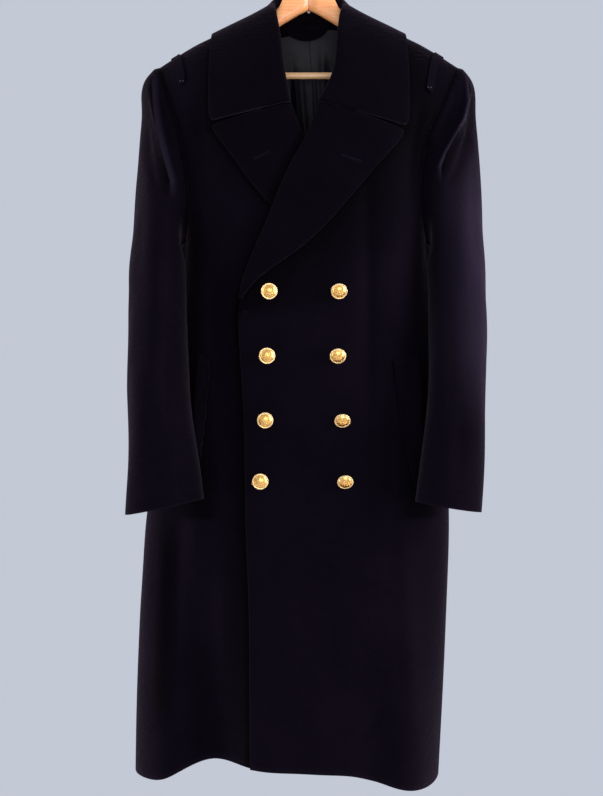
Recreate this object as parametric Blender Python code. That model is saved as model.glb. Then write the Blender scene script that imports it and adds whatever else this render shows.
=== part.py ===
"""Bridge coat: a long double-breasted wool overcoat, hung on a plain wooden hanger.

The coat is a set of thin cloth walls, one for each piece that is cut and sewn. All of them come from
one skin, the surface that the coat's body would have if it were whole: its sections are read from a
short table, and what lies on a panel is the skin moved out by a layer of cloth.

Sizes are in millimetres. The origin is at the inside top of the hanger's hook, +Z is up, the front of
the coat faces -Y, and left and right are the viewer's.
"""
import math
from functools import lru_cache

import bmesh
import bpy
import numpy as np
from mathutils import Vector

MM = 0.001  # the meshes are in metres

# ---------------------------------------------------------------- driving dimensions

CLOTH = 2.4  # wall of the wool cloth
SATIN = 1.0  # wall of the lining
GAP = 0.3  # between two pieces that are sewn together
LAYER = CLOTH + 0.9  # from the face of one layer of wool to the face of the next
POWER = 2.5  # how square the body's sections are: 2 is an ellipse
FRONT_SHOULDER = 190.0  # height over which the front rounds up to the shoulder seam
BACK_SHOULDER = 130.0
HEM = -1262.0
UNDERARM = -460.0
YOKE = -290.0  # above this height the rows of a panel turn to follow the shoulder seam
BREAK = -555.0  # where the lapel starts to roll
GORGE = -259.0  # where the collar's end meets the roll line
LEFT, RIGHT = -1, 1
FRONT, BACK = -1, 1

BUTTON_RADIUS = 12.3
BUTTON_RISE = 7.4  # from the back of a button's plate to the top of its dome
BUTTON_STAND = 7.6  # from the cloth to the back of a button's plate
SHANK_RADIUS = 2.0
SHANK_SEAT = 0.45  # between the cloth and the foot of the shank

NAVY = (0.0105, 0.0095, 0.0165, 1.0)
CHARCOAL = (0.020, 0.021, 0.027, 1.0)
GOLD = (0.83, 0.53, 0.16, 1.0)
BEECH = (0.72, 0.36, 0.14, 1.0)
STEEL = (0.62, 0.62, 0.60, 1.0)


def table(columns, rows):
    """A table with named columns, sorted by its first one."""
    return dict(zip(columns.split(), np.array(sorted(rows), dtype=float).T))


# The body: half widths to either side, and how far the front and the back stand from the middle.
BODY = table("height left right front back", [
    (-100, 264, 262, 80, 56),
    (-186, 252, 252, 82, 59),
    (-229, 241, 236, 83, 61),
    (-257, 231, 222, 84, 62),
    (-290, 221, 206, 85, 64),
    (-325, 212, 195, 87, 66),
    (-362, 204, 188, 89, 68),
    (-397, 198, 185, 90, 69),
    (-427, 194, 184, 91, 70),
    (-460, 192, 183, 92, 71),
    (-520, 194, 186, 93, 72),
    (-600, 201, 194, 94, 73),
    (-700, 217, 206, 95, 74),
    (-800, 237, 215, 97, 76),
    (-880, 254.5, 220, 99, 78),
    (-958, 258.5, 218, 102, 80),
    (-1027, 263.5, 215, 105, 82),
    (-1113, 267, 211.5, 108, 85),
    (-1182, 269.5, 208, 110, 88),
    (-1290, 271, 202, 113, 91),
])

# The line of the shoulders, from the neck out to the sleeve.
SHOULDER = table("x height", [
    (0, -84),
    (79, -105),
    (106, -117),
    (150, -138),
    (175, -150),
    (207.6, -169.5),
    (232.6, -185.7),
    (252, -199.5),
    (290, -230),
])

# The hem is not level: it swings up where a fold falls back.
HEMLINE = table("x front back", [
    (-275, -1280, -1276),
    (-245, -1281, -1274),
    (-218, -1277, -1272),
    (-190, -1262, -1270),
    (-145, -1250, -1272),
    (-120, -1250, -1274),
    (-88, -1254, -1272),
    (0, -1260, -1270),
    (60, -1263, -1272),
    (95, -1272, -1274),
    (130, -1282, -1272),
    (160, -1287, -1272),
    (185, -1289, -1278),
    (210, -1282, -1280),
])

# Folds that open towards the hem, and soft ones that start and end on the panel. A fold runs from its
# upper x to its lower x, and stands out, or falls back where rise is negative.
HEM_FOLDS = {
    FRONT: table("upper_x lower_x start width rise", [
        (-232, -224, -930, 24, 12),
        (-178, -145, -880, 36, -50),
        (-90, -62, -960, 30, 6),
        (96, 104, -1000, 22, -7),
        (146, 160, -930, 40, 32),
    ]),
    BACK: table("upper_x lower_x start width rise", [
        (-175, -190, -840, 36, 16),
        (-85, -90, -700, 40, -24),
        (-12, 10, -760, 34, 12),
        (80, 92, -720, 38, -22),
        (150, 150, -860, 30, 14),
    ]),
}
SOFT_FOLDS = {
    FRONT: table("upper_x lower_x start end width rise", [
        (-196, -203, -760, -1130, 16, -7),
        (-150, -128, -330, -760, 22, -5),
        (84, 98, -250, -880, 15, -5),
        (112, 124, -560, -900, 13, -4),
        (150, 128, -300, -560, 24, 4),
    ]),
    BACK: table("upper_x lower_x start end width rise", [
        (-120, -105, -300, -760, 28, -7),
        (0, 0, -200, -560, 46, -5),
        (118, 108, -300, -760, 28, -7),
    ]),
}

# The armhole, from the underarm up. Up to the yoke it is set in from the side, measured along the
# cloth; above, it is given by its distance from the centre line.
LOWER_ARMHOLE = table("height front_inset back_inset", [
    (-460, 0, 0),
    (-450, 25, 24),
    (-427, 42, 38),
    (-397, 49, 43),
    (-362, 51, 45),
    (-325, 52, 46),
])
UPPER_ARMHOLE = table("height left right", [
    (-290, 199, 184),
    (-257, 210, 201),
    (-229, 219, 214),
    (-208, 226, 224),
    (-194, 230.3, 229.5),
    (-187.5, 232, 231.8),
    (-185.7, 232.6, 232.6),
])

# The neckline: across the back, and down the front to where the lapels start to roll.
NECK_BACK = table("x height", [(0, -114), (32, -113), (58, -111.5), (71, -109.5), (79, -105)])
NECK_FRONT = table("height x", [(-105, 79), (-118, 75), (-146, 66), (-192, 53), (-225, 42)])

# Roll lines of the lapels and, below the break, the front edge. The under front ends in the dark.
OVER_ROLL = table("height x", [
    (-225, 31), (-259, 17.4), (-298, 4.5), (-316, -6.9), (-347, -24.5), (-391, -44.3), (-413, -53),
    (-510, -93), (-555, -107),
])
UNDER_ROLL = table("height x", [
    (-225, -34.6), (-259, -27), (-281, -19), (-303, -12), (-316, -7), (-347, 10), (-391, 33),
    (-413, 43), (-510, 84), (-555, 100),
])
OVER_EDGE = table("height x", [
    (-555, -107), (-583, -109), (-635, -103.5), (-712, -99), (-790, -96.5), (-885, -95.5),
    (-958, -92), (-1027, -89.5), (-1131, -89), (-1262, -88),
])
UNDER_EDGE = table("height x", [(-555, 100), (-620, 106), (-1262, 106)])

# The lapels, from the break up to the gorge: the roll line, and the outer edge that lies on the front.
OVER_LAPEL = table("step roll_x roll_z edge_x edge_z", [
    (0, -106.2, -552.5, -101.5, -549.5),
    (1, -98, -524, -72, -519),
    (2, -85, -490, -15, -480),
    (3, -65, -444, 35, -433),
    (4, -41, -384, 78, -382),
    (5, -21, -341, 112, -342),
    (6, -2, -308, 140.5, -309),
    (7, 17.4, -257.4, 144.5, -297.5),
])
UNDER_LAPEL = table("step roll_x roll_z edge_x edge_z", [
    (0, 84, -510, 68, -503),
    (1, 81, -502, 54, -496),
    (2, 73, -485, 12, -475),
    (3, 56, -444, -38, -433),
    (4, 29.5, -384, -83, -384),
    (5, 7, -341, -118, -335),
    (6, -10.5, -308, -143, -301),
    (7, -29, -257.4, -146.5, -290),
])
NOTCH_START = 66.0  # distance from the centre line at which collar and lapel part
SEAM = 0.7  # between the edge of the collar's end and the lapel that is sewn to it

# The collar, from the centre of the back (place 0) over the shoulder (about 0.5) to its end at the
# gorge (place 1): its roll line, and the outer edge of its leaf, whose right corner hangs lower.
COLLAR = table("place left_x right_x roll_y roll_z seam_z edge_x edge_y edge_z", [
    (0.00, 0, 0, 63, -58, -114, 0, 70, -166),
    (0.15, 29, 29, 57, -60, -113, 58, 66, -165),
    (0.30, 47, 47, 37, -66, -112, 106, 52, -160),
    (0.38, 53.5, 53.5, 22, -74, -110, 130, 36, -154),
    (0.45, 54.5, 54.5, 6, -85, -108, 143, 16, -144),
    (0.50, 54, 54, -6, -90, -105, 148, 0, -138),
    (0.56, 52, 51.5, -20, -98, -110, 150, -20, -142),
    (0.65, 50, 48, -35, -113, -129, 151, -40, -165),
    (0.78, 44, 44, -56, -150, -164, 152, -60, -205),
    (0.90, 40, 42, -72, -198, -208, 152, -72, -250),
    (0.95, 35.5, 34, -79, -226, -232, 151, -77, -270),
    (1.00, 29.3, 15.1, -84, -256, -256, 149, -80, -286),
])
CORNER_DROP = {LEFT: 0.0, RIGHT: 7.5}
COLLAR_PLACES = (0, 0.1, 0.2, 0.3, 0.37, 0.42, 0.46, 0.5, 0.54, 0.58, 0.63, 0.7, 0.78, 0.86, 0.93, 1)

# The sleeves below the armhole: how far out and in they reach, and where they hang from front to back.
SLEEVE = table("height left_out left_in right_out right_in middle half_depth", [
    (-500, 279, 185, 274, 177, -18, 72),
    (-560, 277.5, 184, 273, 180, -40, 67),
    (-640, 275, 181, 269, 181, -70, 59),
    (-700, 273, 178, 265, 178, -88, 54),
    (-790, 269.5, 164, 260, 166, -110, 47),
    (-862, 272, 154.5, 255, 156, -124, 43),
])
CUFF_DROP = {LEFT: 12.0, RIGHT: 8.0}  # how much lower the outer corner of a cuff hangs
SLEEVE_LEAN = {LEFT: 16.0, RIGHT: 6.0}  # how much narrower the arm is where the head ends
SLEEVE_HEAD_ROWS = 8
SLEEVE_ROWS = 11

# Eight buttons in four rows, each drooping on its shank by its own angle, in degrees.
BUTTONS = table("height left_x left_droop right_x right_droop", [
    (-543, -59.2, 10, 44.7, 23),
    (-639, -62.5, 8, 43.0, 26),
    (-735, -65.4, 12, 49.8, 36),
    (-826, -72.6, 9, 54.0, 34),
])

# Welts of the side pockets: their inner and outer edges. The sleeves hide their lower ends.
WELT = table("height left_inner left_outer right_inner right_outer", [
    (-840, 170, 184, 164, 182),
    (-812, 166.5, 179, 154, 177),
    (-780, 162, 176, 147, 174),
    (-745, 158, 174.5, 141, 172),
    (-705, 154, 173, 135, 170),
    (-668, 150.8, 171, 129.6, 167.5),
    (-646, 148.5, 168, 128, 165),
])
WELT_SLOPE = {LEFT: 0.55, RIGHT: 0.27}  # of a welt's top edge, which rises towards the side

# The hanger: top and bottom of its arms, out from the joint in the middle.
ARM = table("x top bottom", [
    (0.3, -50, -96),
    (18, -53, -104.5),
    (36, -62, -115.5),
    (46, -90, -121.5),
    (56, -104, -127),
    (66, -106.5, -132),
    (79, -110.5, -139),
    (95, -115.8, -146),
    (150, -141.6, -172),
    (200, -168.4, -196.5),
    (214, -178, -202),
])
ARM_SEAT = 0.5  # between the top of an arm and the cloth that hangs on it
ARM_THICKNESS = 13.0
BAR_HEIGHT = -198.0
BAR_RADIUS = 5.2
BAR_REACH = 205.0
HOOK_RADIUS = 20.0  # of the rod's seat, inside the hook
WIRE_RADIUS = 1.8


# ---------------------------------------------------------------- reading tables

def smooth(keys, values, at):
    """Read a curve through a table's rows that doesn't swing past them."""
    slopes = np.diff(values) / np.diff(keys)
    tangents = np.zeros(len(keys))
    tangents[0], tangents[-1] = slopes[0], slopes[-1]
    for i in range(1, len(keys) - 1):
        if slopes[i - 1] * slopes[i] > 0:
            tangents[i] = 2 * slopes[i - 1] * slopes[i] / (slopes[i - 1] + slopes[i])
    at = min(max(at, keys[0]), keys[-1])
    i = min(max(int(np.searchsorted(keys, at)) - 1, 0), len(keys) - 2)
    step = keys[i + 1] - keys[i]
    t = (at - keys[i]) / step
    return float(
        (1 + 2 * t) * (1 - t) ** 2 * values[i]
        + t * (1 - t) ** 2 * step * tangents[i]
        + t * t * (3 - 2 * t) * values[i + 1]
        + t * t * (t - 1) * step * tangents[i + 1]
    )


def read(rows, column, at):
    return smooth(rows[next(iter(rows))], rows[column], at)


def ramp(value, start, end):
    """0 before start, 1 past end, and an even turn between them."""
    t = min(max((value - start) / (end - start), 0.0), 1.0)
    return t * t * (3 - 2 * t)


def mix(a, b, t):
    return np.asarray(a, dtype=float) * (1 - t) + np.asarray(b, dtype=float) * t


def side_of(x):
    return "left" if x < 0 else "right"


# ---------------------------------------------------------------- the coat's skin

def shoulder(x):
    return read(SHOULDER, "height", abs(x))


def folds(x, z, face):
    """How far the folds move the skin out at this place."""
    out = 0.0
    rows = HEM_FOLDS[face]
    for upper, lower, start, width, rise in zip(*rows.values()):
        t = ramp(z, start, HEM)
        centre = upper + (lower - upper) * t
        out += rise * t * math.exp(-((x - centre) / width) ** 2)
    rows = SOFT_FOLDS[face]
    for upper, lower, start, end, width, rise in zip(*rows.values()):
        t = min(max((z - start) / (end - start), 0.0), 1.0)
        centre = upper + (lower - upper) * t
        out += rise * math.sin(math.pi * t) ** 2 * math.exp(-((x - centre) / width) ** 2)
    return out * (1 - min(1.0, abs(x) / read(BODY, side_of(x), z)) ** 6)


def fullness(x, z):
    """The section's shape: 1 at the centre line and 0 at the side."""
    reach = min(1.0, abs(x) / read(BODY, side_of(x), z))
    return (1 - reach ** POWER) ** (1 / POWER)


def skin(x, z, face):
    """The y of the outside of the front or the back panel."""
    height = FRONT_SHOULDER if face == FRONT else BACK_SHOULDER
    rise = min(max((z - shoulder(x) + height) / height, 0.0), 1.0)
    depth = read(BODY, "front" if face == FRONT else "back", z)
    out = (depth * fullness(x, z) + folds(x, z, face)) * math.sqrt(1 - rise * rise)
    return face * (GAP / 2 + out)


@lru_cache(maxsize=None)
def quarter(side, z, face):
    """A quarter of the section at a height: length along the cloth and x, from centre to side."""
    angle = np.linspace(0, math.pi / 2, 91)
    x = read(BODY, side_of(side), z) * np.sin(angle) ** (2 / POWER)
    y = read(BODY, "front" if face == FRONT else "back", z) * np.cos(angle) ** (2 / POWER)
    length = np.concatenate([[0], np.cumsum(np.hypot(np.diff(x), np.diff(y)))])
    return length, x


def along(x, z, face):
    """Length along the cloth from the centre line to x, with x's sign."""
    length, across = quarter(RIGHT if x >= 0 else LEFT, z, face)
    return math.copysign(float(np.interp(abs(x), across, length)), x)


def x_at(distance, z, face):
    length, across = quarter(RIGHT if distance >= 0 else LEFT, z, face)
    return math.copysign(float(np.interp(abs(distance), length, across)), distance)


def side_length(side, z, face):
    return side * float(quarter(side, z, face)[0][-1])


def over_lift(x, z):
    """How far the over front stands off the skin, so that the under front and lapel fit below it."""
    layers = 2.3 - 0.9 * ramp(-z, 560, 640)
    return layers * LAYER * ramp(-x, -160, -114) * ramp(-z, 230, 330)


def front_skin(x, z, side):
    """The y of the outside of the front that lies uppermost on this side, or of the under front."""
    return skin(x, z, FRONT) - (over_lift(x, z) if side == RIGHT else 0.0)


def off_body(point, clearance):
    """Move a point of the collar out until it clears the shoulders by this much."""
    x, y, z = point
    face = FRONT if y < 0 else BACK
    height = FRONT_SHOULDER if face == FRONT else BACK_SHOULDER
    middle = shoulder(x) - height
    depth = read(BODY, "front" if face == FRONT else "back", z) * fullness(x, z)
    lift = over_lift(x, z) if face == FRONT and x > 0 else 0.0
    if z <= middle:
        return np.array([x, face * max(abs(y), depth + lift + clearance), z])
    share = math.hypot(y / depth, (z - middle) / height)
    radius = math.hypot(y, z - middle) / share
    wanted = 1 + (clearance + lift) / radius
    grow = max(1.0, wanted / share)
    return np.array([x, y * grow, middle + (z - middle) * grow])


# ---------------------------------------------------------------- making objects

def material(name, colour, roughness, metallic=0.0):
    made = bpy.data.materials.new(name)
    made.use_nodes = True
    shader = made.node_tree.nodes["Principled BSDF"]
    shader.inputs["Base Color"].default_value = colour
    shader.inputs["Roughness"].default_value = roughness
    shader.inputs["Metallic"].default_value = metallic
    made.diffuse_color = colour
    return made


def add_object(name, mesh_builder, finish):
    mesh = bpy.data.meshes.new(name)
    mesh_builder.to_mesh(mesh)
    mesh_builder.free()
    mesh.polygons.foreach_set("use_smooth", [True] * len(mesh.polygons))
    made = bpy.data.objects.new(name, mesh)
    bpy.context.scene.collection.objects.link(made)
    mesh.materials.append(material(name, *finish))
    return made


def net(rows, closed=False):
    """A mesh of the rows of points, with a face between each four of them."""
    built = bmesh.new()
    made = [[built.verts.new(np.asarray(p) * MM) for p in row] for row in rows]
    for low, high in zip(made, made[1:]):
        count = len(low)
        for i in range(count if closed else count - 1):
            j = (i + 1) % count
            built.faces.new((low[i], low[j], high[j], high[i]))
    return built


def add_cloth(name, rows, finish, wall=CLOTH, closed=False, flip=False, seams=None):
    """A piece of cloth: its outer face is the net of rows, and its wall grows inwards.

    Along a seam both pieces grow in the same direction, so that their edges stay apart: seams gives
    it for a row and column of the net.
    """
    built = net(rows, closed)
    if flip:
        bmesh.ops.reverse_faces(built, faces=built.faces)
    bmesh.ops.triangulate(built, faces=built.faces)
    built.normal_update()
    built.verts.ensure_lookup_table()
    outward = [v.normal.copy() for v in built.verts]
    for (row, column), normal in (seams or {}).items():
        outward[row * len(rows[0]) + column] = Vector(normal).normalized()
    outer = list(built.verts)
    faces, rim = list(built.faces), [e for e in built.edges if e.is_boundary]
    inner = [built.verts.new(v.co - n * wall * MM) for v, n in zip(outer, outward)]
    twin = dict(zip(outer, inner))
    for face in faces:
        built.faces.new([twin[v] for v in reversed(face.verts)])
    for edge in rim:
        start, end = edge.verts
        built.faces.new((start, end, twin[end], twin[start]))
    bmesh.ops.recalc_face_normals(built, faces=built.faces)
    return add_object(name, built, finish)


WOOL_FINISH = (NAVY, 0.92)
SATIN_FINISH = (CHARCOAL, 0.42)
GOLD_FINISH = (GOLD, 0.28, 1.0)
WOOD_FINISH = (BEECH, 0.45)
STEEL_FINISH = (STEEL, 0.25, 1.0)


# ---------------------------------------------------------------- body panels

SKIRT_ROWS = 12


def body_heights():
    """Heights of a panel's rows: up to the break, to the underarm, then those of the armhole."""
    below = [HEM + (BREAK - HEM) * i / SKIRT_ROWS for i in range(SKIRT_ROWS)]
    return below + [BREAK, (BREAK + UNDERARM) / 2] + list(LOWER_ARMHOLE["height"])


def side_edge(side, z, face):
    """Length along the cloth to the side seam or, above the underarm, to the armhole."""
    end = side_length(side, z, face)
    if z < UNDERARM:
        return end
    inset = read(LOWER_ARMHOLE, "front_inset" if face == FRONT else "back_inset", z)
    if z > LOWER_ARMHOLE["height"][-1]:
        return along(side * read(UPPER_ARMHOLE, side_of(side), z), z, face)
    return end - side * inset


def armhole(side, face):
    """Points of the armhole's edge on one panel, from the underarm up to the shoulder seam."""
    points = []
    for z in LOWER_ARMHOLE["height"]:
        x = x_at(side_edge(side, z, face), z, face)
        points.append((x, skin(x, z, face), z))
    for z, reach in zip(UPPER_ARMHOLE["height"], UPPER_ARMHOLE[side_of(side)]):
        points.append((side * reach, skin(side * reach, z, face), z))
    return points


def settle_hem(x, z, face):
    """Bring a row of the skirt down or up to the hemline."""
    drop = read(HEMLINE, "front" if face == FRONT else "back", x) - HEM
    return z + drop * (1 - ramp(z, HEM, HEM + 260))


def panel(side, face, columns, inner_x, top_points, y_at):
    """Rows of a front or back panel, from its inner edge out to the side seam and armhole."""
    rows = []
    for z in body_heights():
        start = along(inner_x(z), z, face)
        end = side_edge(side, z, face)
        row = []
        for i in range(columns + 1):
            low = settle_hem(x_at(start + (end - start) * i / columns, z, face), z, face)
            inner, outer = along(inner_x(low), low, face), side_edge(side, low, face)
            x = x_at(inner + (outer - inner) * i / columns, low, face)
            row.append((x, y_at(x, low), low))
        rows.append(row)
    start = along(inner_x(YOKE), YOKE, face)
    end = along(side * UPPER_ARMHOLE[side_of(side)][0], YOKE, face)
    base = [x_at(start + (end - start) * i / columns, YOKE, face) for i in range(columns + 1)]
    heights = UPPER_ARMHOLE["height"]
    for z, reach in zip(heights, UPPER_ARMHOLE[side_of(side)]):
        v = (z - YOKE) / (heights[-1] - YOKE)
        inner_z = YOKE + (top_points[0][1] - YOKE) * v
        inner = np.array([inner_x(inner_z), inner_z])
        outer = np.array([side * reach, z])
        corners = [(base[0], YOKE), (base[-1], YOKE), top_points[0], top_points[-1]]
        row = []
        for i in range(columns + 1):
            a = i / columns
            flat = mix(inner, outer, a) + mix((base[i], YOKE), top_points[i], v)
            flat = flat - mix(mix(corners[0], corners[1], a), mix(corners[2], corners[3], a), v)
            row.append((flat[0], y_at(flat[0], flat[1]), flat[1]))
        rows.append(row)
    return rows


LIP_SETBACK = 5.5  # the front ends this far from the roll line, inside the lapel's turn


def front_inner_x(side):
    """Where a front panel ends towards the centre, as a function of height."""
    roll = OVER_ROLL if side == RIGHT else UNDER_ROLL
    edge = OVER_EDGE if side == RIGHT else UNDER_EDGE

    def inner(z):
        if z > NECK_FRONT["height"][0]:
            return side * read(NECK_FRONT, "x", z)
        if z > GORGE:
            low = read(roll, "x", GORGE) + side * LIP_SETBACK
            return low + (side * NECK_FRONT["x"][0] - low) * ramp(z, GORGE, NECK_FRONT["height"][0])
        if z > BREAK or (z == BREAK and side == LEFT):
            return read(roll, "x", z) + side * LIP_SETBACK
        return read(edge, "x", z)

    return inner


def skin_normal(x, z, face):
    """The direction in which the skin faces outwards."""
    step = 1.0
    over_x = (skin(x + step, z, face) - skin(x - step, z, face)) / (2 * step)
    over_z = (skin(x, z + step, face) - skin(x, z - step, face)) / (2 * step)
    normal = np.array([-over_x, 1.0, -over_z]) * face
    return normal / np.linalg.norm(normal)


def panel_seams(side, rows, first_column):
    """Wall directions of a panel at its side seam and, from a column on, at its shoulder seam."""
    last = len(rows[0]) - 1
    seams = {}
    for j, row in enumerate(rows):
        if row[-1][2] <= UNDERARM:
            seams[j, last] = (side, 0, 0)
    for i in range(first_column, last + 1):
        x = abs(rows[-1][i][0])
        slope = (shoulder(x + 1) - shoulder(x - 1)) / 2
        seams[len(rows) - 1, i] = (-side * slope, 0, 1)
    return seams


def shoulder_seam(side, columns):
    """Points of the shoulder seam from the neck to the armhole, seen from the front."""
    start, end = NECK_BACK["x"][-1], UPPER_ARMHOLE[side_of(side)][-1]
    across = [start + (end - start) * i / columns for i in range(columns + 1)]
    return [(side * x, shoulder(x)) for x in across]


def add_front(name, side, columns):
    rows = panel(
        side, FRONT, columns, front_inner_x(side), shoulder_seam(side, columns),
        lambda x, z: front_skin(x, z, side),
    )
    add_cloth(name, rows, WOOL_FINISH, flip=side == LEFT, seams=panel_seams(side, rows, 0))


NECK_COLUMNS = 4  # of a back panel's columns, those that end at the neckline


def add_back(name, side, columns):
    neck = [NECK_BACK["x"][-1] * i / NECK_COLUMNS for i in range(NECK_COLUMNS)]
    top = [(side * max(x, GAP / 2), read(NECK_BACK, "height", x)) for x in neck]
    top += shoulder_seam(side, columns - NECK_COLUMNS)
    rows = panel(side, BACK, columns, lambda z: side * GAP / 2, top, lambda x, z: skin(x, z, BACK))
    seams = panel_seams(side, rows, NECK_COLUMNS)
    for j, row in enumerate(rows):
        seams[j, 0] = skin_normal(0, row[0][2], BACK)
    add_cloth(name, rows, WOOL_FINISH, flip=side == RIGHT, seams=seams)


# ---------------------------------------------------------------- sleeves

def around(count):
    """Angles round a sleeve: 0 is outside, a quarter turn is the front, half a turn the underarm."""
    return [2 * math.pi * i / count for i in range(count)]


def sleeve_ring(side, z, count):
    """A ring of a sleeve below the armhole, clear of the coat's side."""
    name = side_of(side)
    far, near = (read(SLEEVE, f"{name}_{end}", z) for end in ("out", "in"))
    middle, half_depth = read(SLEEVE, "middle", z), read(SLEEVE, "half_depth", z)
    drop = CUFF_DROP[side] * ramp(-z, 760, 862)
    ring = []
    for angle in around(count):
        x = side * ((far + near) / 2 + (far - near) / 2 * math.cos(angle))
        y = middle - half_depth * math.sin(angle)
        ring.append(clear_of_side(np.array([x, y, z - drop * math.cos(angle)]), 2.0))
    return ring


def clear_of_side(point, clearance):
    """Move a point of a sleeve out until it clears the coat's body by this much."""
    x, y, z = point
    width = read(BODY, side_of(x), z)
    depth = read(BODY, "front" if y < 0 else "back", z)
    share = (abs(x / width) ** POWER + abs(y / depth) ** POWER) ** (1 / POWER)
    radius = math.hypot(x, y) / share
    grow = max(1.0, (1 + clearance / radius) / share)
    return np.array([x * grow, y * grow, z])


def sleeve_rings(side):
    """Rings of a sleeve: its head from the armhole down to a level ring, then down to the cuff."""
    front, back = armhole(side, FRONT), armhole(side, BACK)
    edge = front[::-1] + back[1:-1]
    count = len(edge)
    first = sleeve_ring(side, SLEEVE["height"][-1], count)
    down = sleeve_ring(side, SLEEVE["height"][-1] - 20, count)
    starts, leads, ends, trails = [], [], [], []
    for point, angle, end, below in zip(edge, around(count), first, down):
        top, forward = math.cos(angle), math.sin(angle)
        away = np.array([side * (0.7 + 0.16 * top), -0.75 * forward, -0.42 - 0.08 * top])
        away /= np.linalg.norm(away)
        fall = (below - end) / np.linalg.norm(below - end)
        starts.append(np.asarray(point) + away * 0.4)
        leads.append(starts[-1] + away * (26 + 14 * forward ** 2 + 12 * max(top, 0.0)))
        ends.append(end)
        lean = SLEEVE_LEAN[side] * (1 + top) / 2
        trails.append(end - fall * (18 + 90 * (1 + top)) - (side * lean, 0, 0))
    rings = []
    for i in range(SLEEVE_HEAD_ROWS):
        t = (i / SLEEVE_HEAD_ROWS) ** 1.25
        weights = ((1 - t) ** 3, 3 * t * (1 - t) ** 2, 3 * t * t * (1 - t), t ** 3)
        rings.append([
            sum(w * p for w, p in zip(weights, four)) for four in zip(starts, leads, trails, ends)
        ])
    top, cuff = SLEEVE["height"][-1], SLEEVE["height"][0]
    for i in range(SLEEVE_ROWS + 1):
        rings.append(sleeve_ring(side, top + (cuff - top) * i / SLEEVE_ROWS, count))
    return rings


def add_sleeve(name, side):
    add_cloth(name, sleeve_rings(side), WOOL_FINISH, closed=True, flip=side == LEFT)


# ---------------------------------------------------------------- lapels and collar

LIP = ((-1.2, -2.3), (-2.3, -0.2), (-1.5, 2.3), (1.6, LAYER))  # across and out from the roll line
FLAT_LIP = ((-2.3, LAYER), (-1.1, LAYER), (0.2, LAYER), (1.6, LAYER))  # where the turn starts
LAPEL_COLUMNS = (0.1, 0.22, 0.38, 0.56, 0.74, 0.89, 1.0)
LAPEL_ROWS = 14


def add_lapel(name, side, rows_of):
    """A lapel: it turns over at the roll line and lies on its front, one layer out."""
    steps = rows_of["step"]
    extra = 0.5 if side == RIGHT else 0.0
    tip = (abs(rows_of["edge_x"][-1]), rows_of["edge_z"][-1])
    rows = []
    for j in range(LAPEL_ROWS + 1):
        step = steps[-1] * j / LAPEL_ROWS
        roll = np.array([read(rows_of, "roll_x", step), read(rows_of, "roll_z", step)])
        edge = np.array([read(rows_of, "edge_x", step), read(rows_of, "edge_z", step)])
        row = []
        for across, out in LIP if j > 0 else FLAT_LIP:
            x, z = roll[0] + side * across, roll[1]
            row.append((x, front_skin(x, z, side) - out, z))
        loft = 3.0 * ramp(roll[1], -335, -290)
        start = roll + (side * LIP[-1][0], 0)
        for a in LAPEL_COLUMNS:
            x, z = mix(start, edge, a)
            if j == LAPEL_ROWS:
                z = lapel_top(side, side * x, tip)
            out = LAYER + extra + loft * math.sin(math.pi * a)
            row.append((x, front_skin(x, z, side) - out, z))
        rows.append(row)
    add_cloth(name, rows, WOOL_FINISH, flip=side == LEFT)


def neck_point(place, side):
    """The neckline's point at a place round the collar, mirrored to the right-hand side."""
    if place <= 0.5:
        x = NECK_BACK["x"][-1] * place / 0.5
        z = read(NECK_BACK, "height", x)
        return np.array([x, skin(x, z, BACK) - CLOTH / 2, z])
    z = read(COLLAR, "seam_z", place)
    x = abs(front_inner_x(side)(z))
    return np.array([x - 1.0, skin(side * x, z, FRONT) + CLOTH / 2, z])


def collar_section(place, side):
    """Points of the collar from the neck seam up the stand, over the roll and down the leaf."""
    roll = np.array([read(COLLAR, key, place) for key in (f"{side_of(side)}_x", "roll_y", "roll_z")])
    edge = np.array([read(COLLAR, key, place) for key in ("edge_x", "edge_y", "edge_z")])
    edge[2] -= CORNER_DROP[side] * ramp(place, 0.6, 1)
    seam = neck_point(place, side)
    upward = roll - (seam + edge) / 2
    upward /= np.linalg.norm(upward)
    outward = skin_normal(side * seam[0], seam[2], BACK if place <= 0.5 else FRONT) * (side, 1, 1)
    outward -= upward * outward.dot(upward)
    outward /= np.linalg.norm(outward)
    end = ramp(place, 0.72, 0.96)  # towards the gorge the stand narrows to the lip of the lapel
    foot = mix(seam + upward * 3.8, roll - upward * 1.0 - outward * 4.4, end)
    top = roll - upward * 3.2 - outward * 3.1
    points = [
        foot,
        mix(mix(foot, top, 0.55), roll - upward * 0.2 - outward * 3.3, end),
        mix(top, roll - upward * 0.0 - outward * 2.0, end),
        roll,
        roll - upward * 1.6 + outward * 2.4,
        roll - upward * 4.0 + outward * 3.6,
    ]
    start = points[-1]
    bulge = 2.4 * abs(place - 0.5) / 0.5
    for a in (0.14, 0.34, 0.56, 0.78, 0.92, 1.0):
        points.append(mix(start, edge, a) + outward * bulge * math.sin(math.pi * a))
    leaf = [off_body(p * (side, 1, 1), LAYER + 0.5) for p in points[6:]]
    return [p * (side, 1, 1) for p in points[:6]] + leaf


def lapel_top(side, reach, tip):
    """Height of a lapel's top edge: along the collar's end, and past the notch straight to the tip."""
    leaf = np.array(collar_section(1.0, side))[5:]
    sewn = [float(np.interp(x, leaf[:, 0] * side, leaf[:, 2])) - SEAM for x in (reach, NOTCH_START)]
    if reach <= NOTCH_START:
        return sewn[0]
    return sewn[1] + (tip[1] - sewn[1]) * (reach - NOTCH_START) / (tip[0] - NOTCH_START)


def add_collar(name):
    rows = [collar_section(place, LEFT) for place in COLLAR_PLACES[::-1]]
    rows += [collar_section(place, RIGHT) for place in COLLAR_PLACES[1:]]
    add_cloth(name, rows, WOOL_FINISH)


# ---------------------------------------------------------------- what lies on the panels

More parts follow.
